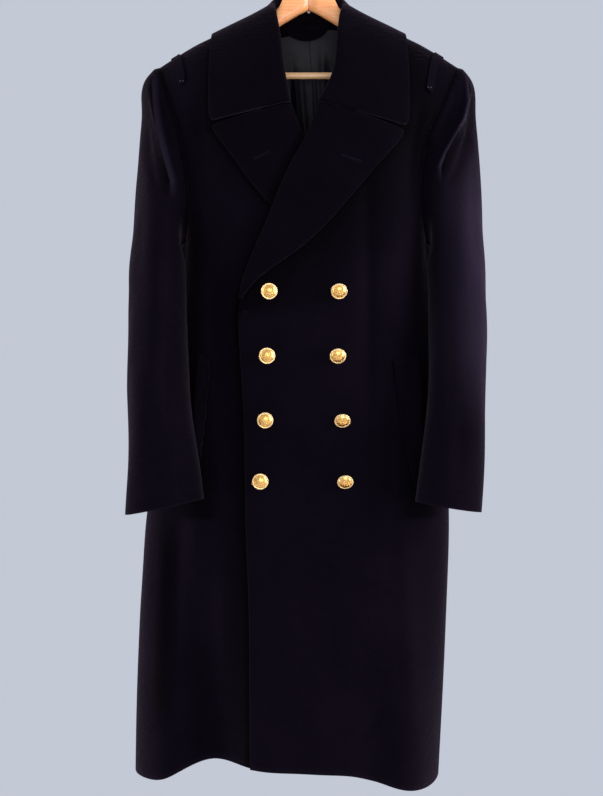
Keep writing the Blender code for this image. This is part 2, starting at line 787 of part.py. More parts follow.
def add_welt(name, side):
    """The welt of a side pocket, stitched flat on the front."""
    rows = []
    for z in WELT["height"]:
        inner, outer = (read(WELT, f"{side_of(side)}_{end}", z) for end in ("inner", "outer"))
        slope = WELT_SLOPE[side] * ramp(z, -710, -646)
        row = []
        for i in range(5):
            across = (outer - inner) * i / 4
            x, height = side * (inner + across), z + across * slope
            row.append((x, front_skin(x, height, side) - LAYER, height))
        rows.append(row)
    add_cloth(name, rows, WOOL_FINISH, flip=side == LEFT)


LOOP_WIDTH = 11.0
LOOP_WALL = 1.6
LOOP_X = {LEFT: (210.0, 194.5), RIGHT: (206.0, 184.5)}  # on the shoulder and at its front end
LOOP_FRONT = {LEFT: 0.82, RIGHT: 0.94}  # reach to the front, as an angle of the shoulder's rounding
LOOP_BACK = 0.5


def add_shoulder_loop(name, side):
    """The loop that holds a shoulder board: a narrow strip across the shoulder seam."""
    rows = []
    on_top, at_end = LOOP_X[side]
    for i in range(15):
        angle = (LOOP_FRONT[side] + LOOP_BACK) * i / 14 - LOOP_FRONT[side]
        middle = on_top + (at_end - on_top) * max(0.0, -angle / LOOP_FRONT[side])
        face = FRONT if angle < 0 else BACK
        height = FRONT_SHOULDER if face == FRONT else BACK_SHOULDER
        row = []
        for j in range(3):
            x = side * (middle + LOOP_WIDTH * (j / 2 - 0.5))
            depth = read(BODY, "front" if face == FRONT else "back", -200) * fullness(x, -200)
            z = shoulder(x) - height * (1 - math.cos(angle))
            point = np.array([x, depth * math.sin(angle), z])
            row.append(off_body(point, LOOP_WALL + 0.4))
        rows.append(row)
    add_cloth(name, rows, WOOL_FINISH, wall=LOOP_WALL, flip=side == RIGHT)


def inside_back(x, z, depth):
    """A point this far inside the back panel's outer face."""
    return np.array([x, skin(x, z, BACK), z]) - skin_normal(x, z, BACK) * depth


LINING_DEPTH = CLOTH + 2.2
LINING_REACH = 70.0
LINING_BOTTOM = -345.0
PLEAT_BOTTOM = 19.0  # how far the pleat's edge leans to the right at the lining's lower end
PLEAT_UNDER = 38.0  # and how far the left half reaches below it there
PLEAT_LIFT = 1.8


def add_lining(name, side):
    """Half of the back lining. The right half ends in the pleat and laps over the left half."""
    rows = []
    for j in range(9):
        t = j / 8
        start = (PLEAT_BOTTOM if side == RIGHT else PLEAT_UNDER) * (1 - t)
        row = []
        for i in range(6):
            x = start + (side * LINING_REACH - start) * i / 5
            top = read(NECK_BACK, "height", abs(x)) - 5 - 8 * (x / LINING_REACH) ** 2
            z = LINING_BOTTOM + (top - LINING_BOTTOM) * t
            pleat = SATIN + GAP + PLEAT_LIFT * math.exp(-abs(x - start) / 14) if side == RIGHT else 0.0
            row.append(inside_back(x, z, LINING_DEPTH + pleat))
        rows.append(row)
    add_cloth(name, rows, SATIN_FINISH, wall=SATIN, flip=side == LEFT)


FACING_WIDTH = 36.0
FACING_MIDDLE = -4.0
FACING_TOP = -105.5
FACING_ENDS = -110.5  # height of the half-moon's ends, and how much lower its middle hangs
FACING_DROP = 19.0
FACING_INSIDE = 7.4  # from the outside of the back at the neck seam


def facing_point(x, z):
    """A point of the facing, which stands straight up in front of the neck seam."""
    return (x, skin(x, NECK_BACK["height"][0], BACK) - FACING_INSIDE, z)


def add_neck_facing(name):
    """The half-moon of coat cloth inside the neck, over the seam of the lining and the collar."""
    rows = []
    for j in range(5):
        row = []
        for i in range(13):
            across = i / 6 - 1
            bottom = FACING_ENDS - FACING_DROP * math.sqrt(1 - across ** 2 * 0.97)
            z = bottom + (FACING_TOP - bottom) * j / 4
            row.append(facing_point(FACING_MIDDLE + FACING_WIDTH * across, z))
        rows.append(row)
    add_cloth(name, rows, WOOL_FINISH, wall=1.5)


def add_neck_loop(name):
    """The short hanging loop on the facing."""
    rows = []
    for height in (-120.5, -113.5):
        row = [facing_point(x, height) for x in (-4, 3, 10, 16.5)]
        rows.append([(x, y - 2.1, z) for x, y, z in row])
    add_cloth(name, rows, WOOL_FINISH, wall=1.2)


def add_button(name, x, z, droop):
    """A domed metal button on its shank, drooping forwards by an angle in degrees."""
    lean = math.radians(droop)
    away = BUTTON_STAND + (BUTTON_RADIUS + 1) * math.sin(lean) * 0.28
    shank = (away - SHANK_SEAT - SHANK_RADIUS * math.sin(lean)) / math.cos(lean)
    profile = [
        (0.0, BUTTON_RISE), (5.2, BUTTON_RISE - 0.7), (9.2, BUTTON_RISE - 2.4),
        (BUTTON_RADIUS - 1.2, 2.6), (BUTTON_RADIUS, 1.6), (BUTTON_RADIUS - 0.7, 0.1),
        (2.4, 0.0), (SHANK_RADIUS, -shank), (0.0, -shank),
    ]
    built = bmesh.new()
    verts = [built.verts.new((radius * MM, 0, height * MM)) for radius, height in profile]
    edges = [built.edges.new(pair) for pair in zip(verts, verts[1:])]
    bmesh.ops.spin(
        built, geom=verts + edges, cent=(0, 0, 0), axis=(0, 0, 1), angle=2 * math.pi, steps=14,
        use_merge=True,
    )
    bmesh.ops.remove_doubles(built, verts=built.verts, dist=0.00001)
    bmesh.ops.recalc_face_normals(built, faces=built.faces)
    made = add_object(name, built, GOLD_FINISH)
    cloth = front_skin(x, z, RIGHT)
    made.rotation_euler = (math.pi / 2 + lean, 0, 0)
    made.location = (x * MM, (cloth - away) * MM, z * MM)
    return made


# ---------------------------------------------------------------- hanger

def add_hanger_arm(name, side):
    """Half of the wooden hanger, a rounded bar that follows the shoulder, drilled for the bar."""
    rows = []
    for i in range(15):
        x = ARM["x"][0] + (ARM["x"][-1] - ARM["x"][0]) * i / 14
        top, bottom = read(ARM, "top", x), read(ARM, "bottom", x)
        if x >= NECK_BACK["x"][-1]:
            top = shoulder(x) - CLOTH * 1.16 - ARM_SEAT
        ring = []
        for k in range(12):
            angle = 2 * math.pi * k / 12
            y = ARM_THICKNESS / 2 * math.copysign(abs(math.sin(angle)) ** 0.7, math.sin(angle))
            tall = math.copysign(abs(math.cos(angle)) ** 0.85, math.cos(angle))
            ring.append((side * x, -y, (top + bottom) / 2 + (top - bottom) / 2 * tall))
        rows.append(ring)
    built = net(rows, closed=True)
    built.verts.ensure_lookup_table()
    built.faces.new(built.verts[:12])
    built.faces.new(built.verts[-12:])
    bmesh.ops.recalc_face_normals(built, faces=built.faces)
    made = add_object(name, built, WOOD_FINISH)
    drill = bmesh.new()
    bmesh.ops.create_cone(
        drill, cap_ends=True, segments=20, radius1=(BAR_RADIUS + GAP) * MM,
        radius2=(BAR_RADIUS + GAP) * MM, depth=2 * (BAR_REACH + GAP) * MM,
    )
    cutter = add_object(name + "_drill", drill, WOOD_FINISH)
    cutter.rotation_euler = (0, math.pi / 2, 0)
    cutter.location = (0, 0, BAR_HEIGHT * MM)
    cutter.hide_render = True
    cutter.display_type = "WIRE"
    cut = made.modifiers.new("socket", "BOOLEAN")
    cut.operation = "DIFFERENCE"
    cut.solver = "EXACT"
    cut.object = cutter
    return made


def add_bar(name):
    built = bmesh.new()
    bmesh.ops.create_cone(
        built, cap_ends=True, segments=16, radius1=BAR_RADIUS * MM, radius2=BAR_RADIUS * MM,
        depth=2 * BAR_REACH * MM,
    )
    made = add_object(name, built, WOOD_FINISH)
    made.rotation_euler = (0, math.pi / 2, 0)
    made.location = (0, 0, BAR_HEIGHT * MM)


def hook_path():
    """Centre line of the hook: up the stem, round the rod's seat and down to the tip."""
    radius = HOOK_RADIUS + WIRE_RADIUS
    points = [(0.0, ARM["top"][0] + GAP), (0.0, -46.5)]
    for i in range(23):
        angle = math.radians(-62 + 262 * i / 22)
        points.append((radius * math.cos(angle), -HOOK_RADIUS + radius * math.sin(angle)))
    return points


def add_hook(name):
    curve = bpy.data.curves.new(name, "CURVE")
    curve.dimensions = "3D"
    points = hook_path()
    line = curve.splines.new("POLY")
    line.points.add(len(points) - 1)
    for point, (x, z) in zip(line.points, points):
        point.co = (x * MM, 0, z * MM, 1)
    line.use_smooth = True
    curve.bevel_depth = WIRE_RADIUS * MM
    curve.bevel_resolution = 2
    curve.use_fill_caps = True
    made = bpy.data.objects.new(name, curve)
    bpy.context.scene.collection.objects.link(made)
    curve.materials.append(material(name, *STEEL_FINISH))


def add_nut(name):
    """The end of the hook's stem, riveted under the joint of the arms."""
    built = bmesh.new()
    bmesh.ops.create_uvsphere(built, u_segments=10, v_segments=6, radius=2.6 * MM)
    made = add_object(name, built, STEEL_FINISH)
    made.location = (0, 0, (ARM["bottom"][0] - 2.6 - 0.5) * MM)


# ---------------------------------------------------------------- the whole coat

for old in list(bpy.data.objects):
    bpy.data.objects.remove(old, do_unlink=True)

add_front("front_over", RIGHT, 20)
add_front("front_under", LEFT, 17)
add_back("back_left", LEFT, 12)
add_back("back_right", RIGHT, 12)
add_sleeve("sleeve_left", LEFT)
add_sleeve("sleeve_right", RIGHT)
add_lapel("lapel_over", RIGHT, OVER_LAPEL)
add_lapel("lapel_under", LEFT, UNDER_LAPEL)
add_collar("collar")
add_welt("pocket_welt_left", LEFT)
add_welt("pocket_welt_right", RIGHT)
add_shoulder_loop("shoulder_loop_left", LEFT)
add_shoulder_loop("shoulder_loop_right", RIGHT)
add_lining("lining_left", LEFT)
add_lining("lining_right", RIGHT)
add_neck_facing("neck_facing")
add_neck_loop("neck_loop")
for row, height in enumerate(BUTTONS["height"][::-1], start=1):
    for column in ("left", "right"):
        across = read(BUTTONS, f"{column}_x", height)
        lean = read(BUTTONS, f"{column}_droop", height)
        add_button(f"button_{column}_{row}", across, height, lean)
add_hanger_arm("hanger_arm_left", LEFT)
add_hanger_arm("hanger_arm_right", RIGHT)
add_bar("hanger_bar")
add_hook("hanger_hook")
add_nut("hanger_nut")
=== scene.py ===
"""Looks of the bridge coat: a long double-breasted coat of dark navy wool on a wooden hanger.

Sizes in the tables are in millimetres and are turned into metres with MM. Left and right are the
viewer's, and the coat's front faces -Y.
"""
import math
from collections import namedtuple

import bmesh
import bpy
import numpy as np
from mathutils import Matrix, Vector, kdtree, noise
from mathutils.bvhtree import BVHTree


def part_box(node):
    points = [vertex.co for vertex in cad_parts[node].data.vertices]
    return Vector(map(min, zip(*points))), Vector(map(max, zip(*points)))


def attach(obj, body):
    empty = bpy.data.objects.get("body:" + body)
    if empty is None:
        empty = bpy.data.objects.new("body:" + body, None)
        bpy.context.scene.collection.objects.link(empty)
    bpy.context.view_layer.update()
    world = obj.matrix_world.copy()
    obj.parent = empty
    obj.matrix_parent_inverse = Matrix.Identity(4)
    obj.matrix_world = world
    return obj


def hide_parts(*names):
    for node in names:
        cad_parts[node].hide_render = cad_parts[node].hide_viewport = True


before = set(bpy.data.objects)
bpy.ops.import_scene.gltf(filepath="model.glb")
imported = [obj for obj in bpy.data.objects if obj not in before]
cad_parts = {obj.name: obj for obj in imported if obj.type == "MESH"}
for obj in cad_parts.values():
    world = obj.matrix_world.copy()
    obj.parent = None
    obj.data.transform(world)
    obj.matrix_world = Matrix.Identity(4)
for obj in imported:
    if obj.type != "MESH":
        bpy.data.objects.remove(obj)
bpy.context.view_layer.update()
MM = 0.001
LEFT, RIGHT = -1, 1

# ---------------------------------------- camera
# The camera stands a little over two metres away, level with the coat's waist, and looks straight on.

CAMERA_PLACE = (-0.01125, -2.19, -0.702)
VIEW_HEIGHT = 1.194  # metres of the coat's front that fill the frame from top to bottom
VIEW_DISTANCE = 2.1

camera_data = bpy.data.cameras.new("camera")
camera_data.sensor_fit = "VERTICAL"
camera_data.angle = 2 * math.atan(VIEW_HEIGHT / 2 / VIEW_DISTANCE)
camera = bpy.data.objects.new("camera", camera_data)
camera.location = CAMERA_PLACE
camera.rotation_euler = (math.pi / 2, 0, 0)
bpy.context.scene.collection.objects.link(camera)
bpy.context.scene.camera = camera

# ---------------------------------------- floor, wall colour and lights
# A round pale floor under the coat, pale blue-grey all round, and three large soft lights: one on
# either side, which draw the sheen on the sleeves, and a weaker one in front that is aimed low.

FLOOR_HEIGHT = -1.62
FLOOR_RADIUS = 1.0
PALE = (0.546, 0.582, 0.668, 1.0)
PALE_FLOOR = (0.60, 0.63, 0.69, 1.0)
LIGHTS = (  # name, place, aim, width, height, watts, colour
    ("left_light", (-2.0, 0.05, -0.5), (0, 0, -0.6), 1.3, 2.4, 56.0, (1.0, 0.80, 0.90)),
    ("right_light", (1.9, -0.7, -0.4), (0, 0, -0.6), 1.0, 2.2, 58.0, (1.0, 0.86, 0.96)),
    ("front_light", (0.2, -2.6, -0.7), (0, 0, -0.95), 1.4, 1.0, 23.0, (1.0, 0.95, 0.97)),
)

bpy.context.scene.view_settings.view_transform = "Standard"
world = bpy.data.worlds.new("pale_room")
world.use_nodes = True
world.node_tree.nodes["Background"].inputs["Color"].default_value = PALE
world.node_tree.nodes["Background"].inputs["Strength"].default_value = 1.0
bpy.context.scene.world = world

for name, place, aim, width, height, watts, colour in LIGHTS:
    lamp = bpy.data.lights.new(name, "AREA")
    lamp.shape = "RECTANGLE"
    lamp.size, lamp.size_y = width, height
    lamp.energy = watts
    lamp.color = colour
    stand = bpy.data.objects.new(name, lamp)
    stand.location = place
    stand.rotation_euler = (Vector(aim) - Vector(place)).to_track_quat("-Z", "Y").to_euler()
    bpy.context.scene.collection.objects.link(stand)

floor_builder = bmesh.new()
bmesh.ops.create_circle(floor_builder, cap_ends=True, segments=96, radius=FLOOR_RADIUS)
bmesh.ops.translate(floor_builder, verts=floor_builder.verts, vec=(0, 0, FLOOR_HEIGHT))
floor_mesh = bpy.data.meshes.new("floor")
floor_builder.to_mesh(floor_mesh)
floor_builder.free()
floor = bpy.data.objects.new("floor", floor_mesh)
floor_paint = bpy.data.materials.new("pale_floor")
floor_paint.use_nodes = True
floor_shader = floor_paint.node_tree.nodes["Principled BSDF"]
floor_shader.inputs["Base Color"].default_value = PALE_FLOOR
floor_shader.inputs["Roughness"].default_value = 0.85
floor_mesh.materials.append(floor_paint)
bpy.context.scene.collection.objects.link(floor)

# ---------------------------------------- fronts
# Two large panels of heavy navy melton, a milled wool with a short nap that hides its weave. The
# over front laps over the under front; both fall from the shoulder seams and hang open at the hem.

NAVY = (0.0031, 0.0019, 0.0046, 1.0)
# the cloth's paler flecks, and the painted highlight along free edges
NAVY_LIGHT = (0.0070, 0.0050, 0.0098, 1.0)
NAVY_DARK = (0.0013, 0.0007, 0.0019, 1.0)
# the darkest navy: painted shade beside edges, seams, folds and laps, and the near-black stitches
NAVY_DEEP = (0.0002, 0.0001, 0.0003, 1.0)
# a lit navy for painted highlights on the sleeves and painted light over the neck's half-moon
NAVY_LIT = (0.0200, 0.0155, 0.0290, 1.0)
NAP_SHEEN = (0.74, 0.56, 0.76, 1.0)
WOOL_WALL = 2.4
SHADE_FROM, SHADE_FULL = 20.0, -15.0  # how far back, by y, the shades on the front start to show
EDGE_STEP = 1.5  # how closely places are taken along an edge
SEWN_REACH = 2.6  # how far from a seam the painted shade of its groove reaches
RIM_ANGLE = math.radians(60)  # the outer face ends where the wall turns more sharply than this


def table(columns, rows):
    """A table with named columns."""
    return dict(zip(columns.split(), np.array(rows, dtype=float).T))


def folds(rows):
    """A table of folds. Each runs on a bent line from x, z by bend_x, bend_z to end_x, end_z."""
    return table("x z bend_x bend_z end_x end_z width rise", rows)


def feed(tree, socket, value):
    """Give an input a value, or link another socket to it."""
    if isinstance(value, bpy.types.NodeSocket):
        tree.links.new(value, socket)
    else:
        socket.default_value = value


def set_inputs(tree, node, **inputs):
    """Feed a node's inputs, which are given by name, with _ for a space."""
    for key, value in inputs.items():
        feed(tree, node.inputs[key.replace("_", " ")], value)
    return node


def add_node(tree, kind, **inputs):
    return set_inputs(tree, tree.nodes.new(kind), **inputs)


def start_material(name):
    made = bpy.data.materials.new(name)
    made.use_nodes = True
    tree = made.node_tree
    return made, tree, tree.nodes["Principled BSDF"]


def place_of(tree, scale=(1, 1, 1), turn=(0, 0, 0)):
    """Object coordinates, stretched and turned."""
    place = tree.nodes.new("ShaderNodeTexCoord").outputs["Object"]
    return add_node(
        tree, "ShaderNodeMapping", Vector=place, Scale=scale, Rotation=turn,
    ).outputs["Vector"]


def speckle(tree, place, scale, detail=2.0, roughness=0.5):
    return add_node(
        tree, "ShaderNodeTexNoise", Vector=place, Scale=scale, Detail=detail, Roughness=roughness,
    ).outputs["Fac"]


def blend(tree, share, first, second):
    """A mix of two colours."""
    made = tree.nodes.new("ShaderNodeMix")
    made.data_type = "RGBA"
    colours = [socket for socket in made.inputs if socket.type == "RGBA"]
    for socket, value in zip((made.inputs["Factor"], *colours), (share, first, second)):
        feed(tree, socket, value)
    return next(socket for socket in made.outputs if socket.type == "RGBA")


def spread(tree, value, low, high, to_low=0.0, to_high=1.0):
    """Map the part of a value between low and high onto another range."""
    made = tree.nodes.new("ShaderNodeMapRange")
    tree.links.new(value, made.inputs["Value"])
    for key, number in (("From Min", low), ("From Max", high), ("To Min", to_low), ("To Max", to_high)):
        made.inputs[key].default_value = number
    return made.outputs["Result"]


def combine(tree, operation, first, second):
    made = tree.nodes.new("ShaderNodeMath")
    made.operation = operation
    tree.links.new(first, made.inputs[0])
    tree.links.new(second, made.inputs[1])
    return made.outputs["Value"]


def stored_value(tree, name):
    """A value that is stored on the piece's points."""
    made = tree.nodes.new("ShaderNodeAttribute")
    made.attribute_name = name
    return made.outputs["Fac"]


def shade_beside(tree, rows, side, reach, inner, fade):
    """1 along a line that is given by x for each height z, fading out beside it and past its ends.

    Reach is how far it goes on the given side, and inner how far on the other, which is often hidden.
    It is on the coat's front alone, and fades out at the sides.
    """
    x, z = np.array(rows, dtype=float).T
    low, high = (x.min(), z.min()), (x.max(), z.max())
    parts = add_node(tree, "ShaderNodeSeparateXYZ", Vector=place_of(tree)).outputs
    height = spread(tree, parts["Z"], low[1] * MM, high[1] * MM)
    line = tree.nodes.new("ShaderNodeFloatCurve")
    tree.links.new(height, line.inputs["Value"])
    curve = line.mapping.curves[0]
    at = (z - low[1]) / (high[1] - low[1])
    to = (x - low[0]) / (high[0] - low[0])
    order = np.argsort(at)
    curve.points[0].location = (at[order[0]], to[order[0]])
    curve.points[1].location = (at[order[-1]], to[order[-1]])
    for i in order[1:-1]:
        curve.points.new(at[i], to[i])
    for point in curve.points:
        point.handle_type = "VECTOR"
    line.mapping.update()
    edge = spread(tree, line.outputs["Value"], 0, 1, low[0] * MM, high[0] * MM)
    away = combine(tree, "SUBTRACT", parts["X"], edge)
    beside = combine(
        tree, "MULTIPLY", spread(tree, away, 0, side * reach * MM, 1.0, 0.0),
        spread(tree, away, -side * inner * MM, -side * inner * 0.5 * MM),
    )
    above = spread(tree, parts["Z"], (low[1] - fade) * MM, low[1] * MM)
    below = spread(tree, parts["Z"], (high[1] + fade) * MM, high[1] * MM)
    in_front = spread(tree, parts["Y"], SHADE_FROM * MM, SHADE_FULL * MM)
    shown = combine(tree, "MULTIPLY", beside, in_front)
    return combine(tree, "MULTIPLY", shown, combine(tree, "MULTIPLY", above, below))


# A line of painted shade, or of painted highlight where its tone is light, laid into the cloth's colour.
Shade = namedtuple("Shade", "line side reach strength tone inner fade", defaults=(NAVY_DEEP, 60.0, 28.0))


def wool(name, shades=(), at_edge=NAVY_LIGHT, painted_darkness=0.0):
    """Milled wool: mottled navy, a short nap that lies downwards, and a painted highlight along free edges
    (painted shade there instead, where at_edge is dark).

    Painted shade where a layer laps over it, beside folds and between parts, and painted highlight along
    creases: shades has a line for each such place, with its strength and its tone. Seam grooves get painted
    shade, and the whole piece can be painted darker, as shade.
    """
    made, tree, shader = start_material(name)
    place = place_of(tree)
    mottle = spread(tree, speckle(tree, place, 11.0, 4.0, 0.62), 0.34, 0.70)
    brushed = spread(tree, speckle(tree, place_of(tree, (0.22, 0.22, 1)), 330.0, 3.0, 0.6), 0.34, 0.70)
    fibres = spread(tree, speckle(tree, place_of(tree, (1, 1, 0.35)), 1500.0, 3.0, 0.6), 0.3, 0.72)
    flecks = spread(tree, speckle(tree, place, 520.0, 2.0, 0.7), 0.60, 0.76)
    colour = blend(tree, mottle, NAVY, NAVY_DARK)
    colour = blend(tree, spread(tree, brushed, 0, 1, 0.0, 0.75), colour, NAVY)
    colour = blend(tree, spread(tree, fibres, 0, 1, 0.0, 0.6), colour, NAVY)
    colour = blend(tree, spread(tree, flecks, 0, 1, 0.0, 0.45), colour, NAVY_LIGHT)
    # The whole piece painted darker by this share: painted shade.
    colour = blend(tree, painted_darkness, colour, NAVY_DEEP)
    # Painted highlight along the free edges, or painted shade there where at_edge is dark.
    edge_paint = spread(tree, stored_value(tree, "edge"), 0.35, 1.0, 0.0, 0.5)
    colour = blend(tree, edge_paint, colour, at_edge)
    # Painted shade and painted highlight along lines.
    for shade in shades:
        beside = shade_beside(tree, shade.line, shade.side, shade.reach, shade.inner, shade.fade)
        colour = blend(tree, spread(tree, beside, 0, 1, 0.0, shade.strength), colour, shade.tone)
    # Painted shade in the grooves of the seams and the armholes.
    for groove, depth in (("sewn", 0.75), ("armhole", 0.85)):
        groove_shade = spread(tree, stored_value(tree, groove), 0.1, 0.9, 0.0, depth)
        colour = blend(tree, groove_shade, colour, NAVY_DEEP)
    set_inputs(
        tree, shader, Base_Color=colour, Roughness=spread(tree, fibres, 0, 1, 0.84, 0.98),
        Specular_IOR_Level=0.026, Sheen_Weight=0.078, Sheen_Roughness=0.32, Sheen_Tint=NAP_SHEEN,
    )
    nap = add_node(tree, "ShaderNodeBump", Strength=0.55, Distance=0.35 * MM, Height=fibres)
    felt = add_node(
        tree, "ShaderNodeBump", Strength=0.4, Distance=0.8 * MM, Height=speckle(tree, place, 210.0, 3.0),
        Normal=nap.outputs["Normal"],
    )
    waves = add_node(
        tree, "ShaderNodeBump", Strength=0.5, Distance=1.2 * MM, Height=brushed,
        Normal=felt.outputs["Normal"],
    )
    set_inputs(tree, shader, Normal=waves.outputs["Normal"])
    return made


def mesh_of(piece):
    """A copy of a piece's mesh to work on."""
    cloth = bmesh.new()
    cloth.from_mesh(piece.data)
    return cloth


def solid_of(node):
    """A copy of a CAD solid's mesh, with its triangles joined at their corners."""
    solid = mesh_of(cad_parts[node])
    bmesh.ops.remove_doubles(solid, verts=solid.verts, dist=0.02 * MM)
    return solid


def outer_face(node):
    """The outer face of a CAD wall, as quads: a copy without the inner face and the rim."""
    cloth = solid_of(node)
    largest, most = [], 0.0
    for seed in cloth.faces:
        seed.tag = False
    for seed in cloth.faces:
        if seed.tag:
            continue
        seed.tag = True
        part, waiting = [], [seed]
        while waiting:
            face = waiting.pop()
            part.append(face)
            for edge in face.edges:
                if len(edge.link_faces) == 2 and edge.calc_face_angle() < RIM_ANGLE:
                    for other in edge.link_faces:
                        if not other.tag:
                            other.tag = True
                            waiting.append(other)
        area = sum(face.calc_area() for face in part)
        if area > most:
            largest, most = part, area
    kept = set(largest)
    bmesh.ops.delete(cloth, geom=[f for f in cloth.faces if f not in kept], context="FACES")
    bmesh.ops.join_triangles(
        cloth, faces=cloth.faces, angle_face_threshold=math.pi, angle_shape_threshold=math.pi,
    )
    return cloth


def add_piece(name, builder):
    mesh = bpy.data.meshes.new(name)
    builder.to_mesh(mesh)
    builder.free()
    piece = bpy.data.objects.new(name, mesh)
    bpy.context.scene.collection.objects.link(piece)
    mesh.polygons.foreach_set("use_smooth", [True] * len(mesh.polygons))
    return piece


def smooth_out(piece, levels, soft_corners=False):
    """Round the cloth off between its points, and keep the finer mesh."""
    rounding = piece.modifiers.new("rounding", "SUBSURF")
    rounding.levels = rounding.render_levels = levels
    rounding.boundary_smooth = "ALL" if soft_corners else "PRESERVE_CORNERS"
    shown = piece.evaluated_get(bpy.context.evaluated_depsgraph_get())
    finer, coarse = bpy.data.meshes.new_from_object(shown), piece.data
    piece.modifiers.clear()
    piece.data = finer
    bpy.data.meshes.remove(coarse)


def points_of(piece):
    """Points and normals of a piece's mesh, in millimetres, as two arrays."""
    mesh = piece.data
    points = np.empty(len(mesh.vertices) * 3)
    mesh.vertices.foreach_get("co", points)
    normals = np.empty(len(mesh.vertices) * 3, dtype=np.float32)
    mesh.vertex_normals.foreach_get("vector", normals)
    return points.reshape(-1, 3) / MM, normals.reshape(-1, 3).astype(float)


def move_points(piece, points):
    piece.data.vertices.foreach_set("co", (points * MM).ravel())
    piece.data.update()


def tree_of(places):
    """A tree that finds the nearest of these places."""
    tree = kdtree.KDTree(len(places))
    for i, place in enumerate(places):
        tree.insert(place, i)
    tree.balance()
    return tree


def store_nearness(piece, name, places, reach):
    """Store 1 on each point at one of the places, in metres, falling to 0 at this reach in millimetres."""
    tree = tree_of(places)
    near = [max(0.0, 1 - tree.find(v.co)[2] / (reach * MM)) for v in piece.data.vertices]
    stored = piece.data.attributes.new(name, "FLOAT", "POINT")
    stored.data.foreach_set("value", near)


def mark_edges(piece, reach, sewn=None):
    """Store how near each point lies to the cloth's free edges, and to its sewn ones."""
    mesh = piece.data
    shared = np.zeros(len(mesh.edges), dtype=int)
    loops = np.empty(len(mesh.loops), dtype=np.int32)
    mesh.loops.foreach_get("edge_index", loops)
    np.add.at(shared, loops, 1)
    rim = [mesh.edges[int(i)].vertices for i in np.flatnonzero(shared == 1)]
    free, joined = [], []
    for a, b in rim:
        start, end = mesh.vertices[a].co, mesh.vertices[b].co
        count = max(1, int((end - start).length / (EDGE_STEP * MM)))
        for i in range(count):
            place = start.lerp(end, i / count)
            (joined if sewn and sewn(place / MM) else free).append(place)
    store_nearness(piece, "edge", free, reach)
    if joined:
        store_nearness(piece, "sewn", joined, SEWN_REACH)


# Troughs (rise below 0) and ridges, as seen from the front.
FRONT_FOLDS = folds([
    (88, -330, 84, -560, 96, -900, 10, -3.6),
    (118, -640, 120, -760, 124, -960, 9, -2.8),
    (140, -880, 150, -1040, 158, -1240, 15, 4.5),
    (60, -1222, 92, -1204, 116, -1160, 9, -3.4),
    (48, -1236, 84, -1222, 112, -1182, 7, 2.6),
    (176, -560, 168, -700, 178, -860, 12, 2.4),
    (-196, -880, -208, -1020, -200, -1190, 11, -4.5),
    (-150, -420, -152, -560, -140, -700, 13, -3.6),
    (-172, -640, -178, -820, -168, -1000, 12, 3.4),
    (-128, -900, -124, -1040, -132, -1220, 13, 3.2),
    (-160, -232, -172, -300, -160, -390, 16, -5.5),
    (172, -236, 168, -300, 150, -420, 15, -6.0),
    (-30, -900, -20, -1040, -28, -1220, 24, 2.4),
    (30, -960, 26, -1080, 40, -1240, 18, -2.2),
    (104, -620, 100, -720, 106, -880, 10, 2.2),
])
BACK_FOLDS = folds([
    (-120, -250, -132, -340, -120, -450, 20, -4.5),
    (124, -240, 130, -330, 116, -460, 20, -4.5),
    (-60, -420, -70, -620, -60, -820, 22, -3.0),
    (64, -400, 70, -600, 74, -860, 20, -3.0),
    (-150, -560, -158, -760, -164, -980, 16, 3.2),
    (150, -520, 160, -720, 156, -960, 16, 3.0),
    (-14, -640, -10, -860, -20, -1120, 24, 2.2),
    (-104, -900, -110, -1060, -100, -1230, 15, -3.0),
    (110, -960, 104, -1090, 112, -1250, 15, -3.0),
    (-60, -1190, -40, -1174, -14, -1180, 9, -1.6),
])


def bent_line(start, bend, end, count=14):
    t = np.linspace(0, 1, count)[:, None]
    start, bend, end = (np.asarray(p, dtype=float) for p in (start, bend, end))
    return start * (1 - t) ** 2 + bend * 2 * t * (1 - t) + end * t * t


def fold_rise(flat, folds):
    """How far the folds lift points that are given in the plane in which the folds are drawn."""
    rise = np.zeros(len(flat))
    for x, z, bend_x, bend_z, end_x, end_z, width, height in zip(*folds.values()):
        line = bent_line((x, z), (bend_x, bend_z), (end_x, end_z))
        nearest, share = np.full(len(flat), 1e9), np.zeros(len(flat))
        for i, (a, b) in enumerate(zip(line, line[1:])):
            run = b - a
            t = np.clip((flat - a) @ run / (run @ run), 0, 1)
            away = np.linalg.norm(flat - a - t[:, None] * run, axis=1)
            closer = away < nearest
            nearest = np.where(closer, away, nearest)
            share = np.where(closer, (i + t) / (len(line) - 1), share)
        rise += height * np.sin(np.pi * share) ** 0.8 * np.exp(-(nearest / width) ** 2)
    return rise


def ripple(points, size, height):
    """Slow unevenness of heavy cloth, the same for all layers that lie on each other."""
    return np.array([noise.noise(Vector(p) / size) for p in points]) * height


def armhole_points():
    """The upper edges of both sleeves, which are sewn to the armholes."""
    found = []
    for word in ("left", "right"):
        sleeve = outer_face(f"sleeve_{word}")
        for edge in sleeve.edges:
            start, end = (v.co for v in edge.verts)
            if edge.is_boundary and start.z > UNDERARM * MM:
                found += [start.lerp(end, i / 6) for i in range(6)]
        sleeve.free()
    return found


UNDERARM = -465.0
ARMHOLE_EASE = 26.0  # the folds fade out over this distance from an armhole's seam
ARMHOLE_GROOVE = 7.0  # how far from the armhole's seam the painted shade of its groove reaches
PANEL_FROM, PANEL_OVER = 8.0, 30.0  # how far off the coat's middle, by y, a panel's folds start and ease in
armhole_edge = armhole_points()
armhole = tree_of(armhole_edge)


def smooth(share):
    """A share between 0 and 1 with a soft start and end."""
    return share * share * (3 - 2 * share)


def from_armhole(points):
    """How far each point is from an armhole's seam, in millimetres."""
    return np.array([armhole.find(Vector(p) * MM)[2] for p in points]) / MM


